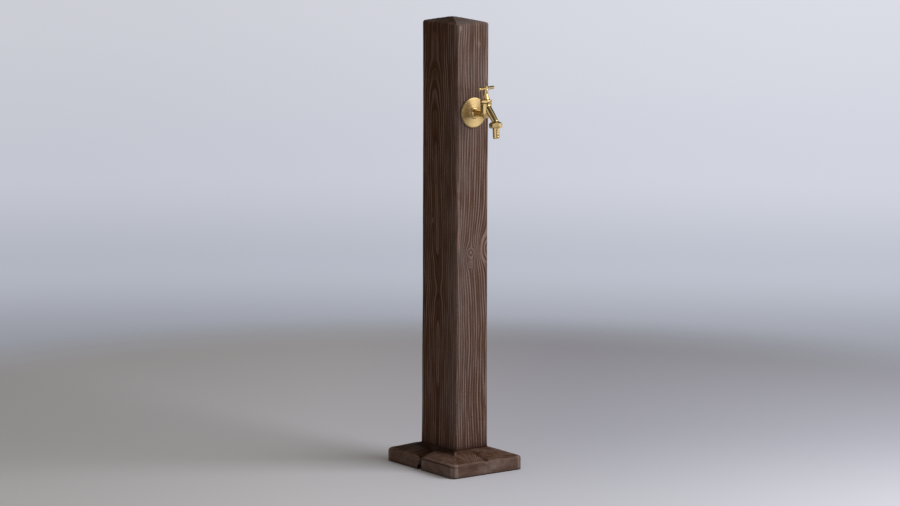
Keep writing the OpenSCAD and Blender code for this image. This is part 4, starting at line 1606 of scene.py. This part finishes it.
    def marks(self, grid: FootGrid, burst: np.ndarray) -> np.ndarray:
        """Sets where the plinth is worn, dirty and dusted, and where shade is painted on it.

        Args:
            grid: The plinth's grid.
            burst: Share of the burst on the slope.

        Returns:
            Marks of every point.
        """
        rows, count = grid.points.shape[:2]
        steps, outer, side, slope = len(grid.slope), grid.outer, grid.side, grid.slope[:, None]
        rim, fold = slice(steps, outer), slice(steps + 6, steps + 8)
        share = np.array([column.share for column in grid.columns])
        around, down = np.arange(count)[None, :], np.arange(rows)[:, None]
        rub = 0.5 + 0.5 * value_noise(around / 11, down / 6, 29)
        streaks = np.clip(0.5 + 1.3 * value_noise(around / 1.7, down / 25, 61), 0, 1)
        near = np.where(grid.bend > 0.01, 1.0, np.clip((np.abs(share) - 0.91) / 0.07, 0, 1))
        mitre = np.clip((np.abs(share) - 0.985) / 0.015, 0, 1)
        crisp = np.clip((6.0 - grid.lip) / 3.6, 0.06, 1.0)
        marks = np.zeros((rows, count, 4))
        wear, shade_and_grime, dust = marks[..., 0], marks[..., 2], marks[..., 3]
        edge = np.zeros((rows, 1))
        edge[steps - 2 : steps + 5, 0] = self.rim_wear
        wear[:] = np.clip(edge * crisp * (0.35 + 0.8 * rub), 0, 1)
        wear[rim] = np.maximum(wear[rim], near * streaks[rim])
        handled = np.where((side == LEFT) & (share > 0.1), 0.45, 0.0) * np.clip(0.3 + 0.9 * rub, 0, 1)
        wear[4:outer] = np.maximum(wear[4:outer], handled[4:outer])
        wear[2:steps] = np.maximum(wear[2:steps], 0.5 * mitre * rub[2:steps])
        # Painted shade on the slope at the post's foot, strongest on the left and back sides.
        foot_dark = np.take(self.foot_painted_shade, side) / (1 + (slope / np.take(self.foot_reach, side)) ** 6)
        # Painted shadow of the post on the left-rear block, and a slight painted darkening of the front slope's left
        # half.
        shaded = np.where(((side == LEFT) & (share < 0)) | ((side == BACK) & (share > 0)), 0.35, 0.0)
        shaded = shaded + np.where((side == FRONT) & (share < 0), 0.09, 0.0)
        # Painted shade in the valleys, weaker on the front and there weakest near the post.
        valley_shade = np.clip(grid.valley / 5.5, 0, 1.0) * np.where(side == FRONT, 0.35 + 0.4 * slope, 1.0)
        shade_and_grime[:steps] = valley_shade + foot_dark + shaded
        # Painted shade in the rim's grooves, and dirt between the pale streaks near the corners.
        shade_and_grime[rim] = np.clip(grid.dent / 3.0, 0, 1) + 0.3 * near * (1 - streaks[rim])
        # Painted shade in a line just under the rim's upper edge.
        shade_and_grime[fold] = np.maximum(shade_and_grime[fold], 0.9 * crisp**2)
        # The rim's lowest rows grow darker towards the ground.
        shade_and_grime[outer - 5 : outer] += np.array(self.ground_darkening)[:, None]
        dust[:steps] = np.clip(0.6 * rub[:steps] - 0.2, 0, 1) * (1 - 0.8 * burst)
        rim_dust = np.take(self.rim_dust, side) + np.where((side == LEFT) & (share > 0), 0.32, 0)
        dust[rim] = np.maximum(rim_dust * (0.45 + 1.1 * rub[rim]), 1.1 * near * streaks[rim])
        return np.clip(marks, 0, 1)

    def run_at(self, column: Column) -> Run:
        """How the grain lines run at a column."""
        first_half = side_of(column) != column.side or column.share < 0
        return self.runs[side_of(column)][0 if first_half else 1]

    def lines(
        self, run: Run, side: int, across: np.ndarray, height: np.ndarray, level: np.ndarray
    ) -> tuple[np.ndarray, np.ndarray]:
        """Ring number and place along the grain on one half side.

        Args:
            run: How the lines run there.
            side: The side's place in the list of sides.
            across: Distance from the side's middle.
            height: Height above the ground.
            level: Share of the way down the slope.

        Returns:
            Ring numbers and places along the grain in metres.
        """
        reach = self.slope_l * level + (self.rim - height) * (level >= 1)
        wave = 0.5 * value_noise(across / 34, reach / 20, 40 + side)
        if run is Run.LEVEL:
            return reach / self.line_gap + wave, across * MM
        along = np.where(level < 1, reach, across) * MM
        if run is Run.FAN:
            fan = across / (44 + 46 * level) * 8
            return np.where(level < 1, fan, height / 6.0) + wave, along
        centre = -self.burst_x if side == FRONT else self.burst_x
        spread = np.arctan2(across - centre, np.maximum(self.burst_reach - reach, 6.0))
        return np.where(level < 1, spread / self.burst_turn, height / 6.4) + 0.3 * wave, along

    def notched(self, mesh: Mesh) -> Mesh:
        """Cuts the arched notch through the left rim, at the ground.

        Args:
            mesh: The plinth's mesh.

        Returns:
            The cut mesh.
        """
        half, spring = self.notch_w / 2, self.notch_h - self.notch_w / 2
        arch = [(-half, -5.0), (half, -5.0)]
        arch += [(half * math.cos(a), spring + half * math.sin(a)) for a in np.radians(np.arange(0, 181, 12))]
        ends = [(-self.half_x - 5, y + self.notch_y, z) for y, z in arch]
        ends += [(-self.half_x + self.wall + 6, y + self.notch_y, z) for y, z in arch]
        hollow = Shell(np.array(ends), capped(2, len(arch))).mesh("notch")
        return bored(linked("plinth", mesh), hollow)


@dataclass
class Tap:
    """Brass bib tap: rosette, cast body, bonnet, gland nut, spindle and cross-bar handle."""

    face_y: float = -64.0
    spindle_y: float = -111.5
    height: float = INLET_HEIGHT
    outlet_y: float = -34.5
    outlet_z: float = -13.5
    outlet_lean: float = 5.0
    rosette_r: float = 33.0
    rosette_rise: float = 8.0
    neck_r: float = 7.2
    collar_r: float = 9.8
    barrel_r: float = 12.2
    barrel_low: float = -9.0
    barrel_high: float = 24.0
    chamber_r: float = 7.6
    seat_z: float = 6.2
    spout_r: float = 7.8
    spout_end_r: float = 6.7
    spout_start: float = 21.0
    outlet_r: float = 10.4
    outlet_l: float = 9.0
    bonnet_flats: float = 23.2
    bonnet_z: float = 25.2
    bonnet_top: float = 31.2
    gland_r: float = 8.9
    gland_top_r: float = 4.9
    gland_h: float = 12.4
    shank_r: float = 4.0
    hub_r: float = 4.3
    hub_z: float = 44.0
    hub_top: float = 60.3
    bar_z: float = 56.5
    bar_r: float = 3.75
    bar_l: float = 56.0
    bar_angle: float = 19.0
    screw_seat: float = 58.6
    flats_angle: float = 10.0

    @property
    def on_face(self) -> Matrix:
        """Place on the post's face at the inlet axis, with Z away from the post."""
        return Matrix.Translation((0, self.face_y, self.height)) @ Matrix.Rotation(math.pi / 2, 4, "X")

    @property
    def at_spindle(self) -> Matrix:
        """Place where the inlet axis crosses the spindle's axis."""
        return Matrix.Translation((0, self.spindle_y, self.height))

    @property
    def at_outlet(self) -> Matrix:
        """Place at the bend of the spout, with -Z along the outlet."""
        lean = Matrix.Rotation(math.radians(-self.outlet_lean), 4, "X")
        return self.at_spindle @ Matrix.Translation((0, self.outlet_y, self.outlet_z)) @ lean

    def rosette(self) -> Mesh:
        """Turned disc on the post's face, with a rolled rim and a low crown.

        Returns:
            The rosette's mesh.
        """
        wide, rise = self.rosette_r, self.rosette_rise
        rim = [(31.4, 0.0, 0.0), (wide, 0.0, 0.4), (wide, 4.6, 1.6), (30.6, 5.25, 1.0)]
        crown = [(13.6, 5.75, 2.0), (11.4, rise, 0.8), (8.6, rise, 0.0)]
        inside = [(8.6, 6.6, 0.0), (12.4, 4.4, 1.0), (29.6, 3.7, 1.0), (31.4, 3.0, 0.4)]
        return turned(rim + crown + inside, 144, closed=True, steps=6).placed(self.on_face).mesh("rosette")

    def body(self, thread: NodeTree, finish: Material) -> Mesh:
        """Cast body: collar, neck, barrel and spout in one casting, with a turned collar and a threaded outlet.

        Args:
            thread: The thread tree.
            finish: Material of the body.

        Returns:
            The body's mesh.
        """
        rise, collar, reach = self.rosette_rise, self.collar_r, self.face_y - self.spindle_y
        neck = [
            (0.0, rise, 0.0),
            (collar - 0.6, rise, 0.0),
            (collar - 0.6, rise + 2.0, 0.8),
            (self.neck_r, rise + 5.0, 2.0),
            (self.neck_r, reach, 0.0),
            (0.0, reach, 0.0),
        ]
        wide, low, high = self.barrel_r, self.barrel_low, self.barrel_high
        barrel = [
            (0.0, low, 0.0),
            (5.6, low, 2.5),
            (wide, low + 10.5, 5.0),
            (wide, high - 3.2, 0.6),
            (wide - 0.2, high, 0.0),
            (0.0, high, 0.0),
        ]
        slant = Matrix.Translation((0, 0, self.spout_start)) @ Matrix.Rotation(math.radians(135), 4, "X")
        fall = math.hypot(self.outlet_y, self.spout_start - self.outlet_z)
        spout = [(0.0, 2.0), (self.spout_r, 2.0), (self.spout_r, 0.6 * fall), (self.spout_end_r, fall), (0.0, fall)]
        turns = [math.radians(angle) for angle in range(-90, 91, 30)]
        knee = [(self.spout_end_r * math.cos(turn), self.spout_end_r * math.sin(turn)) for turn in turns]
        horn = [(0.0, 1.5), (6.6, 1.5), (8.4, -0.8), (9.9, -2.0), (9.9, -4.0), (0.0, -4.0)]
        soft = joined(
            [
                turned(neck, 64).placed(self.on_face),
                turned(barrel, 72).placed(self.at_spindle),
                lathe(spout, 56).placed(self.at_spindle @ slant),
                lathe(knee, 56).placed(self.at_outlet),
                lathe(horn, 64).placed(self.at_outlet),
            ]
        )
        seat = [(0.0, 2.0), (4.5, 2.0), (4.5, self.seat_z)]
        hollow = [*seat, (self.chamber_r, self.seat_z), (self.chamber_r, 30.0), (0.0, 30.0)]
        chamber = lathe(hollow, 72).placed(self.at_spindle).mesh("chamber")
        casting = Shell.of_mesh(cast(soft.mesh("casting"), 0.5, 14, chamber))
        flange = [
            (0.0, rise - 0.4, 0.0),
            (collar, rise - 0.4, 0.3),
            (collar, rise + 1.7, 0.7),
            (collar - 1.6, rise + 2.3, 0.4),
            (0.0, rise + 2.3, 0.0),
        ]
        lip = [
            (wide - 1.8, high - 2.6, 0.0),
            (wide + 0.35, high - 2.6, 0.5),
            (wide + 0.35, high, 0.5),
            (wide - 1.8, high, 0.0),
        ]
        outlet, end = self.outlet_r, -self.outlet_l
        core = [
            (0.0, -0.9, 0.0),
            (outlet - 0.1, -0.9, 0.4),
            (outlet - 0.1, -2.4, 0.3),
            (outlet - 0.7, -3.0, 0.2),
            (outlet - 0.7, end, 0.5),
            (4.6, end, 0.3),
            (4.4, -4.0, 0.0),
            (0.0, -4.0, 0.0),
        ]
        values = {"Radius": 9.75 * MM, "Turns": 3.4, "Length": 5.2 * MM, "Ridge": 0.62 * MM, "Material": finish}
        winding = Shell.of_mesh(grown(thread, values)).placed(Matrix.Translation((0, 0, end + 0.7)))
        crisp = [
            turned(flange, 96).placed(self.on_face),
            turned(lip, 96, closed=True).placed(self.at_spindle),
            turned(core, 80).placed(self.at_outlet),
            winding.placed(self.at_outlet),
            lathe([(0.0, -20.4), (8.3, -20.4), (8.3, 8.0), (0.0, 8.0)], 48).placed(self.on_face),
        ]
        return joined([casting, *crisp]).mesh("tap_body")

    def bonnet(self) -> Mesh:
        """Hexagon on the barrel, with a ring under it.

        Returns:
            The bonnet's mesh.
        """
        bore = [(5.2, self.bonnet_top), (5.2, self.bonnet_z)]
        hexagon = nut(self.bonnet_flats, self.bonnet_z, self.bonnet_top, bore, self.flats_angle)
        mesh = bevelled(hexagon.mesh("bonnet"), 0.3)
        ring = [(7.0, 24.6, 0.0), (9.3, 24.6, 0.3), (9.3, 25.6, 0.3), (7.0, 25.6, 0.0)]
        parts = [Shell.of_mesh(mesh), turned(ring, 72, closed=True)]
        return joined([part.placed(self.at_spindle) for part in parts]).mesh("bonnet")

    def gland(self) -> Mesh:
        """Bell-shaped nut round the spindle.

        Returns:
            The gland nut's mesh.
        """
        foot, top = self.bonnet_top, self.bonnet_top + self.gland_h
        bell = [
            (4.2, foot - 1.4, 0.0),
            (self.gland_r - 0.3, foot - 0.1, 0.2),
            (self.gland_r, foot + 0.9, 0.5),
            (self.gland_top_r + 2.4, foot + 3.0, 2.2),
            (self.gland_top_r + 1.0, foot + 7.5, 3.0),
            (self.gland_top_r, top - 0.6, 0.6),
            (self.gland_top_r - 0.2, top, 0.3),
            (4.2, top, 0.25),
        ]
        return turned(bell, 96, closed=True).placed(self.at_spindle).mesh("gland")

    def handle(self) -> Mesh:
        """Cross bar and hub in one casting, with a recess for the screw.

        Returns:
            The handle's mesh.
        """
        hub = [
            (0.0, self.hub_z, 0.0),
            (self.hub_r - 0.5, self.hub_z, 0.3),
            (self.hub_r, self.hub_z + 0.9, 0.5),
            (self.hub_r - 0.2, self.hub_z + 6.5, 3.0),
            (self.hub_r, self.bar_z - 3.6, 1.5),
            (3.5, self.bar_z - 0.5, 1.5),
            (3.5, self.hub_top, 0.3),
            (3.1, self.hub_top, 0.1),
            (3.0, self.screw_seat, 0.0),
            (0.0, self.screw_seat, 0.0),
        ]
        half, waist = self.bar_l / 2, self.bar_r - 0.25
        arm = [(0.0, half, 0.0), (self.bar_r, half, 2.2), (self.bar_r, half - 6.0, 0.5), (waist, 6.0, 4.0)]
        far = [(radius, -along, soft) for radius, along, soft in arm]
        bar = [*far, (self.bar_r + 0.2, 0.0, 0.0), *reversed(arm)]
        across = Matrix.Translation((0, 0, self.bar_z)) @ Matrix.Rotation(math.pi / 2, 4, "Y")
        turn = self.at_spindle @ Matrix.Rotation(math.radians(self.bar_angle), 4, "Z")
        parts = joined([turned(hub, 72).placed(turn), turned(bar, 56, steps=7).placed(turn @ across)])
        return cast(parts.mesh("handle"), 0.3, 5)

    def spindle(self, thread: NodeTree, finish: Material) -> Mesh:
        """Rising spindle: threaded foot, plain shank and square end.

        Args:
            thread: The thread tree.
            finish: Material of the spindle.

        Returns:
            The spindle's mesh.
        """
        foot = [(0.0, 11.5, 0.0), (4.5, 11.5, 0.3), (4.5, 21.6, 0.3)]
        shank = [*foot, (self.shank_r, 22.3, 0.2), (self.shank_r, 48.0, 0.3), (0.0, 48.0, 0.0)]
        corners = [(-2.5, -2.5, 0.4), (2.5, -2.5, 0.4), (2.5, 2.5, 0.4), (-2.5, 2.5, 0.4)]
        square = rounded(corners, closed=True, steps=3)
        ends = np.array([(x, y, z) for z in (47.0, 57.5) for x, y in square])
        turn = Matrix.Rotation(math.radians(self.bar_angle), 4, "Z")
        values = {"Radius": 4.5 * MM, "Turns": 4.5, "Length": 9.0 * MM, "Ridge": 0.5 * MM, "Material": finish}
        winding = Shell.of_mesh(grown(thread, values)).placed(Matrix.Translation((0, 0, 12.0)))
        parts = [turned(shank, 64), Shell(ends, capped(2, len(square))).placed(turn), winding]
        return joined([part.placed(self.at_spindle) for part in parts]).mesh("spindle")

    def build(self, trees: dict[str, NodeTree], finishes: dict[str, Material]) -> None:
        """Builds and dresses the tap's pieces.

        Args:
            trees: Geometry trees by name.
            finishes: Materials by slot.
        """
        polished = finishes["polished_brass"]
        made = piece("turned_rosette", self.rosette(), finishes["rosette_brass"], sharp=50)
        stand_in(made, "standpipe", "rosette_brass", "rosette")
        for name, mesh, sharp, body, slot, node in (
            ("tap_casting", self.body(trees["thread"], polished), 40, "standpipe", "polished_brass", "tap_body"),
            ("bonnet_hexagon", self.bonnet(), 30, "standpipe", "polished_brass", "bonnet"),
            ("gland_bell", self.gland(), 40, "standpipe", "polished_brass", "gland_nut"),
            ("cross_handle", self.handle(), 50, "handle_spindle", "polished_brass", "tee_handle"),
            ("rising_spindle", self.spindle(trees["thread"], polished), 40, "handle_spindle", "plain_brass", "spindle"),
        ):
            stand_in(piece(name, mesh, polished, sharp), body, slot, node)


@dataclass
class HoseUnion:
    """Union nut and barbed hose tail under the spout."""

    place: Matrix
    flats: float = 25.0
    low: float = -13.8
    high: float = -0.7
    mouth: float = 11.1
    spread: float = 0.866
    angle: float = 26.0
    outlet_r: float = 10.4
    collar_top: float = -11.0
    collar_low: float = -12.8
    root_r: float = 6.9
    barb_r: float = 7.2
    pitch: float = 3.6
    land: float = 1.08
    count: int = 5
    start: float = -16.9
    bore_r: float = 4.2

    def nut(self) -> Mesh:
        """Union nut with its bore and the ring that holds the tail.

        Returns:
            The nut's mesh.
        """
        inner = [(10.55, self.high), (10.55, self.low + 0.8), (7.25, self.low + 0.8), (7.25, self.low)]
        ring = nut(self.flats, self.low, self.high, inner, self.angle, self.mouth, self.spread)
        mesh = bevelled(ring.mesh("union"), 0.35)
        return Shell.of_mesh(mesh).placed(self.place).mesh("union")

    def tail(self, barbs: NodeTree, finish: Material) -> Mesh:
        """Hose tail: collar, stem with a stack of barbs, and bore.

        Args:
            barbs: The barb tree.
            finish: Material of the tail.

        Returns:
            The tail's mesh.
        """
        tip = self.start - self.count * self.pitch - self.pitch / 2
        stem = [
            (self.bore_r, self.collar_top, 0.0),
            (self.outlet_r - 0.3, self.collar_top, 0.2),
            (self.outlet_r - 0.3, self.collar_low, 0.2),
            (7.0, self.collar_low, 0.2),
            (7.0, self.start + 0.6, 0.5),
            (self.root_r, self.start - 0.6, 0.5),
            (self.root_r, tip + 1.8, 0.4),
            (self.root_r - 0.5, tip, 0.5),
            (self.bore_r, tip, 0.3),
        ]
        values = {
            "Count": self.count,
            "Pitch": self.pitch * MM,
            "Land": self.land * MM,
            "Barb Radius": self.barb_r * MM,
            "Root Radius": (self.root_r - 0.05) * MM,
            "Material": finish,
        }
        stack = Shell.of_mesh(grown(barbs, values)).placed(Matrix.Translation((0, 0, self.start)))
        return joined([part.placed(self.place) for part in (turned(stem, 72, closed=True), stack)]).mesh("tail")

    def build(self, trees: dict[str, NodeTree], finishes: dict[str, Material]) -> None:
        """Builds and dresses the union.

        Args:
            trees: Geometry trees by name.
            finishes: Materials by slot.
        """
        polished = finishes["polished_brass"]
        ring = piece("union_hexagon", self.nut(), polished, sharp=30)
        stand_in(ring, "union_ring", "polished_brass", "union_nut")
        tail = piece("barbed_tail", self.tail(trees["barbs"], polished), polished, sharp=40)
        stand_in(tail, "hose_connection", "polished_brass", "hose_tail")


@dataclass(frozen=True)
class Panel:
    """Soft pale panel that reflections show: its direction, how many degrees it reaches and its brightness."""

    towards: tuple[float, float, float]
    reach: float
    level: float


@dataclass
class Studio:
    """Plain pale floor, soft light and the camera at the photograph's viewing angle."""

    camera_at: tuple[float, float, float] = (-4.04003, -5.47537, 1.46337)
    yaw: float = 36.332
    pitch: float = 8.253
    roll: float = 0.189
    lens: float = 124.66
    floor_ahead: Corner = (0.59, 0.81, 0.0)
    floor_right: Corner = (0.81, -0.59, 0.0)
    sky_right: Corner = (0.807, -0.59, 0.0)
    floor_r: float = 2.1
    # Floor colours towards the camera and further back: a painted pool of light that dims with distance.
    floor_painted_light_near: Colour = (0.71, 0.726, 0.82, 1.0)
    floor_painted_light_far: Colour = (0.535, 0.548, 0.655, 1.0)
    haze: Colour = (0.33, 0.345, 0.39, 1.0)
    bands: tuple[tuple[float, float, Colour], ...] = (
        (-0.172, -0.147, (0.485, 0.51, 0.585, 1.0)),
        (-0.147, -0.117, (0.60, 0.62, 0.69, 1.0)),
        (-0.117, -0.06, (0.66, 0.67, 0.735, 1.0)),
    )
    soft_light: Colour = (0.285, 0.262, 0.226, 1.0)
    room_low: Colour = (0.3, 0.3, 0.31, 1.0)
    room: Colour = (0.07, 0.07, 0.07, 1.0)
    key_at: Corner = (1.05, -1.62, 1.6)
    key_size: float = 1.7
    key_power: float = 42.0
    aim: Corner = (0.0, 0.0, 0.55)
    panels: tuple[Panel, ...] = (
        Panel((0.59, 0.81, -0.05), 26.0, 0.25),
        Panel((0.95, -0.3, -0.05), 30.0, 0.22),
        Panel((0.96, -0.2, -0.2), 13.0, 0.9),
        Panel((-0.56, -0.76, 0.33), 22.0, 0.62),
        Panel((-0.93, -0.37, -0.08), 15.0, 1.0),
        Panel((-0.77, 0.55, 0.3), 11.0, 0.75),
        Panel((0.25, -0.27, 0.92), 9.0, 0.5),
    )

    def camera(self) -> None:
        """Makes the camera and gives it to the scene."""
        data = bpy.data.cameras.new("camera")
        data.lens, data.sensor_width, data.sensor_fit = self.lens, 36.0, "HORIZONTAL"
        data.clip_end = 60.0
        yaw, pitch = math.radians(self.yaw), math.radians(self.pitch)
        look = Vector((math.sin(yaw) * math.cos(pitch), math.cos(yaw) * math.cos(pitch), -math.sin(pitch)))
        turn = look.to_track_quat("-Z", "Y") @ Quaternion((0.0, 0.0, 1.0), math.radians(self.roll))
        made = linked("camera", data)
        made.location, made.rotation_euler = self.camera_at, turn.to_euler()
        bpy.context.scene.camera = made

    def floor(self) -> None:
        """Pale disc that fades into the background at its rim, with a painted pool of light: brighter towards the
        camera and the camera's left, dimmer further back.
        """
        made, wires, shader = new_material("pale_floor")
        spots = wires.add("ShaderNodeTexCoord").outputs["Object"]
        far = wires.span(wires.measure("DOT_PRODUCT", spots, self.floor_ahead), -0.7, 0.5)
        tint = wires.blend(far, self.floor_painted_light_near, self.floor_painted_light_far)
        # The floor also pales towards the camera's left as painted light.
        sideways = wires.measure("DOT_PRODUCT", spots, self.floor_right)
        tint = wires.blend(wires.span(sideways, 0.4, -0.4, 0.0, 0.32), tint, (1.0, 1.0, 1.0, 1.0))
        fade = wires.span(wires.measure("LENGTH", spots), 0.72 * self.floor_r, self.floor_r, 1.0, 0.0)
        wires.feed(shader, {"Base Color": tint, "Roughness": 0.85, "Specular IOR Level": 0.2, "Alpha": fade})
        angles = np.linspace(0, 2 * math.pi, 129)[:-1]
        points = np.column_stack([np.cos(angles), np.sin(angles), 0 * angles]) * self.floor_r / MM
        disc = Shell(points, [tuple(range(len(points)))])
        piece("floor", disc.mesh("floor", weld=False), made)

    def world(self) -> None:
        """Soft even light, with a pale background for the camera and for reflections."""
        world = bpy.data.worlds.new("studio")
        world.use_nodes = True
        world.node_tree.nodes.clear()
        wires = Wiring(world.node_tree)
        way = wires.add("ShaderNodeTexCoord").outputs["Generated"]
        rise = wires.add("ShaderNodeSeparateXYZ", {0: way}).outputs[2]
        backdrop: Any = self.haze
        for low, high, colour in self.bands:
            backdrop = wires.blend(wires.span(rise, low, high), backdrop, colour)
        path = wires.add("ShaderNodeLightPath").outputs
        seen = wires.math("MAXIMUM", path["Is Camera Ray"], path["Is Transmission Ray"])
        shade = wires.blend(path["Is Glossy Ray"], self.soft_light, self.surroundings(wires, way, rise))
        sideways = wires.span(wires.measure("DOT_PRODUCT", way, self.sky_right), -0.14, 0.14, -0.08, 0.07)
        level = wires.math("ADD", 1.0, wires.times(seen, sideways))
        shown = wires.add("ShaderNodeBackground", {"Color": wires.blend(seen, shade, backdrop), "Strength": level})
        wires.add("ShaderNodeOutputWorld", {"Surface": shown.outputs[0]})
        bpy.context.scene.world = world

    def surroundings(self, wires: Wiring, way: Socket, rise: Socket) -> Socket:
        """What reflections show: a dim room with soft panels in it.

        Args:
            wires: Wiring of the world.
            way: Direction of the ray.
            rise: The direction's upward part.

        Returns:
            The colour in that direction.
        """
        tone = wires.blend(wires.span(rise, -0.24, -0.12), self.room_low, self.room)
        for panel in self.panels:
            facing = wires.measure("DOT_PRODUCT", way, Vector(panel.towards).normalized())
            rim, full = (math.cos(math.radians(panel.reach + soft)) for soft in (14, 0))
            pale = (panel.level, panel.level, 1.04 * panel.level, 1.0)
            tone = wires.blend(wires.span(facing, rim, full), tone, pale)
        return tone

    def lamp(self) -> None:
        """Makes the square soft light that faces the object's middle."""
        data = bpy.data.lights.new("key", "AREA")
        data.shape, data.size, data.energy = "SQUARE", self.key_size, self.key_power
        made = linked("key", data)
        made.location = self.key_at
        made.rotation_euler = (Vector(self.aim) - Vector(self.key_at)).to_track_quat("-Z", "Y").to_euler()

    def build(self) -> None:
        """Sets up camera, floor and light."""
        self.camera()
        self.floor()
        self.world()
        self.lamp()
        bpy.context.scene.view_settings.view_transform = "Standard"


def rgb(red: int, green: int, blue: int) -> Colour:
    """Linear colour from the numbers of an sRGB picture.

    Args:
        red: Red from 0 to 255.
        green: Green from 0 to 255.
        blue: Blue from 0 to 255.

    Returns:
        The colour with a full alpha.
    """
    levels = [value / 255 for value in (red, green, blue)]
    linear = [value / 12.92 if value <= 0.04045 else ((value + 0.055) / 1.055) ** 2.4 for value in levels]
    return (*linear, 1.0)


POST_WOOD = WoodEffect("carved_grain", rgb(80, 47, 22), rgb(55, 28, 6), rgb(142, 118, 109), rgb(117, 108, 109), 1.0)
PLINTH_WOOD = WoodEffect(
    "carved_foot", rgb(91, 62, 46), rgb(58, 35, 21), rgb(142, 118, 108), rgb(128, 112, 106), 1.0, 14.0
)
WORN_FINISHES = {
    "rosette_brass": Worn(
        "brushed_brass", rgb(182, 157, 111), rgb(138, 112, 62), 0.2, (0.42, 0.46), bump=0.03, turned=0.78
    ),
    "polished_brass": Worn("bright_brass", rgb(226, 194, 135), rgb(148, 114, 62), 0.2, (0.14, 0.24), bump=0.04),
    "plain_brass": Worn("dull_brass", rgb(196, 160, 96), rgb(130, 96, 52), 0.5, (0.3, 0.45)),
    "copper": Worn("drawn_copper", rgb(205, 128, 96), rgb(120, 66, 46), 0.5, (0.25, 0.42), mottle=60.0),
    "steel": Worn("plated_steel", rgb(178, 178, 180), rgb(110, 106, 102), 0.35, (0.25, 0.4)),
    "fibre": Worn("pressed_fibre", rgb(92, 62, 48), rgb(62, 42, 34), 0.7, (0.7, 0.85), 0.0, 300.0, 0.3),
    "rubber": Worn("black_rubber", rgb(38, 38, 38), rgb(58, 56, 54), 0.5, (0.5, 0.7), 0.0, 200.0, 0.2),
}
NODE_FINISHES = {
    "plain_brass": (
        "foot_inserts inlet_connector inlet_back_nut inlet_olive inlet_pipe_nut elbow_pipe_nut elbow_olive tap_elbow "
        "valve_disc washer_nut"
    ),
    "polished_brass": "handle_screw",
    "copper": "riser_pipe",
    "steel": "foot_screws elbow_screws",
    "fibre": "tail_seal bonnet_seal gland_packing",
    "rubber": "tap_washer hose_washer",
}


def dress_nodes(finishes: dict[str, Material]) -> None:
    """Gives the CAD nodes that stay in view their finishes.

    Args:
        finishes: Materials by slot.
    """
    for finish, names in NODE_FINISHES.items():
        for name in names.split():
            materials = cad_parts[name].data.materials
            materials.clear()
            materials.append(finishes[finish])
            LOG.info("%s: dressed in %s", name, finish)


def main() -> None:
    """Builds the pieces in order and dresses them."""
    logging.basicConfig(level=logging.INFO, format="%(name)s: %(message)s")
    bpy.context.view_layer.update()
    wood = wood_effect_group()
    worn = worn_surface_group()
    finishes = {slot: finish.material(worn) for slot, finish in WORN_FINISHES.items()}
    trees = {"grain": raised_grain_tree(), "barbs": barb_tree(), "thread": thread_tree()}
    post = Post().build(trees["grain"], POST_WOOD, POST_WOOD.material(wood))
    stand_in(post, "standpipe", "post_wood_effect", "post")
    plinth = Plinth().build(trees["grain"], PLINTH_WOOD, PLINTH_WOOD.material(wood))
    stand_in(plinth, "standpipe", "plinth_wood_effect", "plinth")
    tap = Tap()
    tap.build(trees, finishes)
    HoseUnion(tap.at_outlet).build(trees, finishes)
    dress_nodes(finishes)
    Studio().build()


if __name__ == "__main__":
    main()
